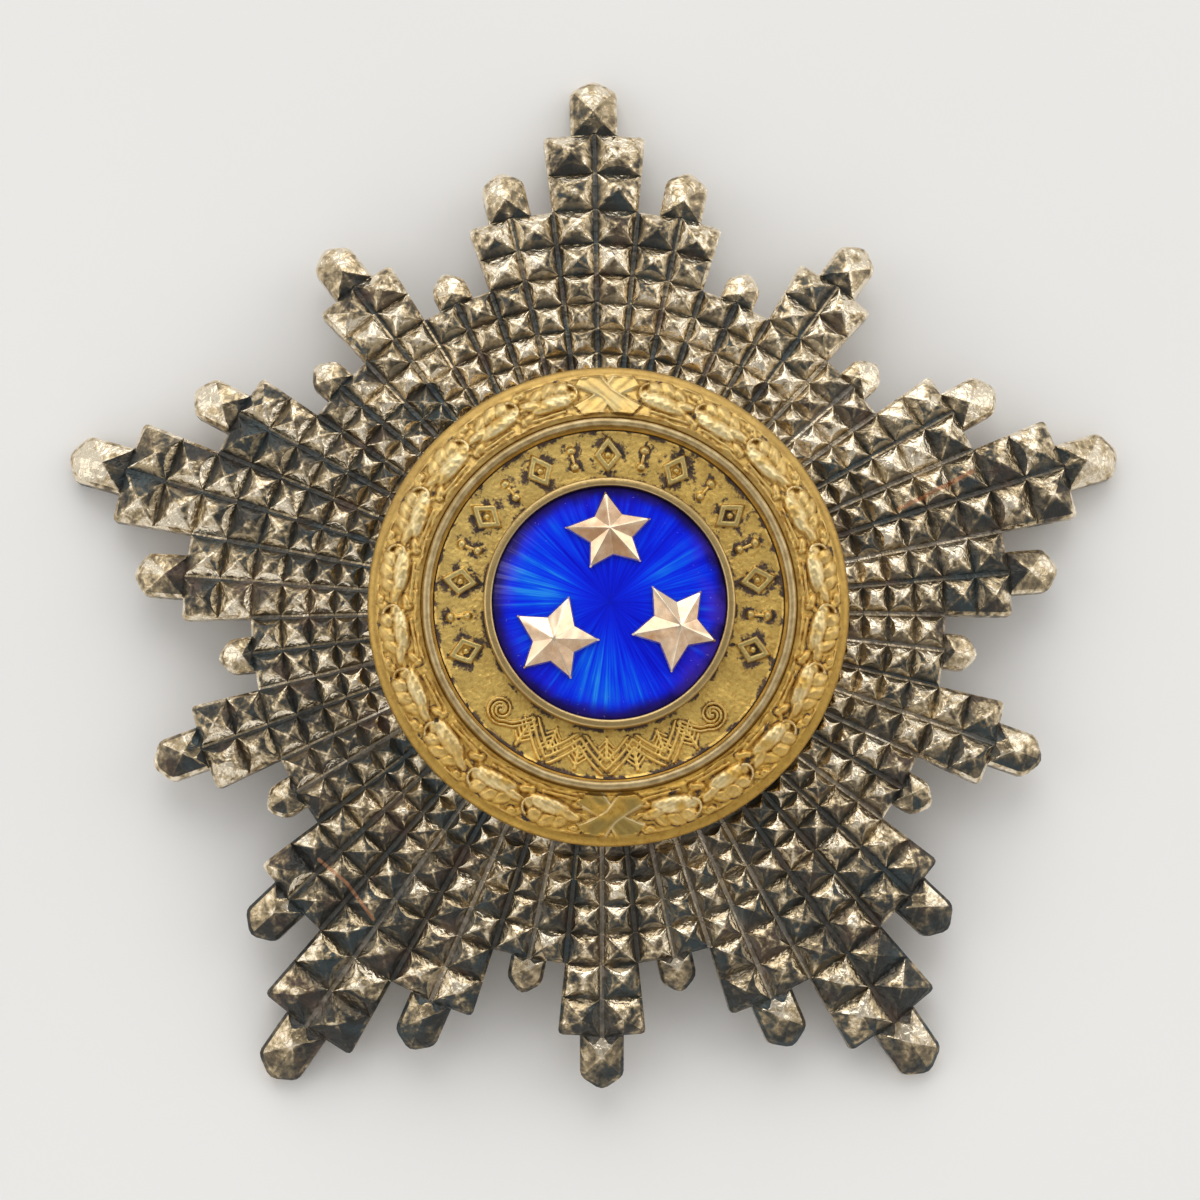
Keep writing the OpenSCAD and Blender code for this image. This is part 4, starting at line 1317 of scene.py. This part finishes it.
def gold_star(place, material):
    name, star = place["name"], Facets()
    random.seed(sum(map(ord, name)))
    corners = [gold_corner(place, n) for n in range(10)]
    top_z = float(enamel_z(place["at"][0])) + SEAT_GAP + GOLD_EDGE + GOLD_PEAK
    peak = polar(*place["at"]) + Vector((*place["peak"], top_z))
    sides, ridged, rounded = [GOLD_SIDE] * 10, [1, 0] * 5, [GOLD_ARC, 0] * 5
    ids = star.cell(corners, peak, sides, ridged, rounded, GOLD_RIDGE_W, GOLD_WEAR_AND_LIGHT)
    feet = [star.add(on_enamel(star.points[k]), 0, 0.8) for k in ids]
    for j, k in enumerate(ids):
        n = (j + 1) % len(ids)
        star.face((k, feet[j], feet[n], ids[n]))
    star.face(tuple(reversed(feet)))
    points = [p + MEDAL for p in star.points]
    return make_piece(
        f"gold_star_{name}", points, star.faces, material, 20, star.points_worn_and_painted_light, star.faces_worn_and_painted_light
    )


class Parts:
    """Points and faces of a piece that is soldered from blocks and round parts."""

    def __init__(self):
        self.points, self.faces = [], []

    def take(self, points, faces):
        self.faces += [tuple(k + len(self.points) for k in face) for face in faces]
        self.points += [Vector(p) + AXIS for p in points]

    def block(self, x0, x1, y0, y1, z0, top_z):
        """A block whose top follows a height along Y."""
        points = []
        for x in (x0, x1):
            points += [(x, y0, z0), (x, y1, z0), (x, y1, top_z(y1)), (x, y0, top_z(y0))]
        around = [(k, k + 4, (k + 1) % 4 + 4, (k + 1) % 4) for k in range(4)]
        self.take(points, [(0, 1, 2, 3), (7, 6, 5, 4), *around])

    def turning(self, stations, along, centre, steps=28, arc=(0, 360)):
        """A round body of (place, radius) stations along the X or Y axis."""
        full, points, faces = arc[1] - arc[0] == 360, [], []
        gaps = steps if full else steps - 1
        for place, radius in stations:
            for k in range(steps):
                deg = arc[0] + (arc[1] - arc[0]) * k / gaps
                u, v = radius * cos_deg(deg), radius * sin_deg(deg)
                on_x, on_y = (place, centre[0] + u, centre[1] + v), (centre[0] + v, place, centre[1] + u)
                points.append(on_x if along == "x" else on_y)
        for s in range(len(stations) - 1):
            for k in range(gaps):
                n = (k + 1) % steps
                faces.append((s * steps + k, (s + 1) * steps + k, (s + 1) * steps + n, s * steps + n))
        self.take(points, faces)


def brooch_pin():
    """Hinge, tapered pin and hooked catch, as one soldered fastening."""
    pin, half, shaft, end = Parts(), HINGE_W / 2, PIN_D / 2 - 0.02, -PIN_REACH

    def solder(y):
        return max(0.0, dome_z(abs(y)) - WALL) - 2 * SEAT_GAP

    def ear_top(_):
        return PIN_Z + 1.0

    pin.block(-half, half, PIN_REACH - 2, PIN_REACH + 2, PIN_Z + 0.9, solder)
    for x0, x1 in ((-half, -half + 1.3), (half - 1.3, half)):
        pin.block(x0, x1, PIN_REACH - 1.15, PIN_REACH + 1.15, PIN_Z - PIN_D / 2, ear_top)
    hinge = (PIN_REACH, PIN_Z)
    barrel = [(-1.15, 0.01), (-1.15, 0.5), (-1.1, 0.58), (1.1, 0.58), (1.15, 0.5), (1.15, 0.01)]
    pin.turning(barrel, "x", hinge)
    for side in (-1, 1):
        x = side * half
        rivet = [(x - side * 0.2, 0.4), (x - side * 0.02, 0.36), (x, 0.2), (x, 0.01)]
        pin.turning(rivet[::side], "x", hinge)
    taper = [
        (PIN_REACH, 0.01), (PIN_REACH - 0.1, shaft), (0, shaft * 0.95),
        (end, shaft * 0.82), (end - 2, shaft * 0.45), (end - 2.98, 0.01),
    ]
    pin.turning(taper, "y", (0, PIN_Z))
    y0, y1 = end - 1.2, end + 1.2
    pin.block(-1.2, 1.2, y0, y1, PIN_Z + 0.95, solder)
    outer, inner = PIN_D / 2 + 0.53, PIN_D / 2 + 0.12
    hook = [
        (y0, inner), (y0, outer - 0.06), (y0 + 0.06, outer), (y1 - 0.06, outer),
        (y1, outer - 0.06), (y1, inner), (y0, inner),
    ]
    pin.turning(hook, "y", (0, PIN_Z), 30, (-205, 62))
    piece = make_piece("brooch_pin", pin.points, pin.faces, pin_silver(), 40, {}, {})
    bevel = piece.modifiers.new("rounding", "BEVEL")
    bevel.width = 0.08 * MM
    bevel.segments = 2
    bevel.limit_method = "ANGLE"
    return piece


# Camera and light
CAMERA = {"far": 258.5, "lean": (-0.031, -0.1094), "roll_deg": -0.46, "shift": (0.028, -0.855), "lens": 108}
SENSOR = 36
CLIP_M = (0.01, 20)
FLOOR_HALF_M = 1.2
# Soft boxes of the studio: direction in the plan, angle from overhead, how wide and how bright
BOXES = table(
    "plan_deg down_deg half_deg glow",
    (95, 52, 34, 1.5),
    (175, 60, 26, 0.9),
    (20, 60, 26, 1.0),
    (250, 66, 20, 0.5),
)
AMBIENT, OVERHEAD, LOW_SIDE = 0.60, 0.38, 0.90
LAMP_WHITE = (1.0, 0.985, 0.96, 1)


def camera():
    """The photograph's camera: almost square on, from a little below."""
    lean_x, lean_y = CAMERA["lean"]
    away = Vector((lean_x, lean_y, math.sqrt(1 - lean_x**2 - lean_y**2)))
    right = Vector((0, 1, 0)).cross(away).normalized()
    up = away.cross(right)
    c, s = cos_deg(CAMERA["roll_deg"]), sin_deg(CAMERA["roll_deg"])
    right, up = c * right + s * up, c * up - s * right
    at = away * CAMERA["far"] - up * CAMERA["shift"][1] - right * CAMERA["shift"][0]
    at += Vector((0, AXIS_Y, CROWN_Z))
    data = bpy.data.cameras.new("camera")
    data.sensor_width, data.lens = SENSOR, CAMERA["lens"]
    data.clip_start, data.clip_end = CLIP_M
    eye = bpy.data.objects.new("camera", data)
    eye.matrix_world = Matrix.Translation(at * MM) @ Matrix((right, up, away)).transposed().to_4x4()
    bpy.context.scene.collection.objects.link(eye)
    bpy.context.scene.camera = eye


def studio():
    """A plain soft studio: a dim room with large soft boxes round the table."""
    world = bpy.data.worlds.new("studio")
    bpy.context.scene.world = world
    world.use_nodes = True
    world.node_tree.nodes.clear()
    room = Nodes(world.node_tree)
    way = room.node("TexCoord").outputs["Generated"]
    height = room.node("SeparateXYZ", way).outputs[2]
    total = room.level(height, cos_deg(42), cos_deg(20), AMBIENT, OVERHEAD)
    total = room.add(total, room.level(height, 0.30, 0.05, 0, LOW_SIDE - AMBIENT))
    for box in BOXES:
        down = math.radians(box["down_deg"])
        aim = polar(math.sin(down), box["plan_deg"], math.cos(down))
        facing = room.vector("DOT_PRODUCT", way, tuple(aim))
        edge, core = cos_deg(box["half_deg"]), cos_deg(box["half_deg"] * 0.55)
        total = room.add(total, room.level(facing, edge, core, 0, box["glow"]))
    light = room.node("Background", LAMP_WHITE, total)
    room.node("OutputWorld", light.outputs[0])
    bpy.context.scene.view_settings.view_transform = "Standard"


def table_top():
    mesh = bpy.data.meshes.new("floor")
    sides = ((-1, -1), (1, -1), (1, 1), (-1, 1))
    mesh.from_pydata([(FLOOR_HALF_M * x, FLOOR_HALF_M * y, 0) for x, y in sides], [], [(0, 1, 2, 3)])
    mesh.materials.append(pale_floor())
    floor = bpy.data.objects.new("floor", mesh)
    bpy.context.scene.collection.objects.link(floor)


ray_star()
wreath_ring()
wire_ring()
centre_band()
enamel_rim()
enamel_disc()
gold = rose_gold()
for place in GOLD_STARS:
    gold_star(place, gold)
brooch_pin()
table_top()
studio()
camera()
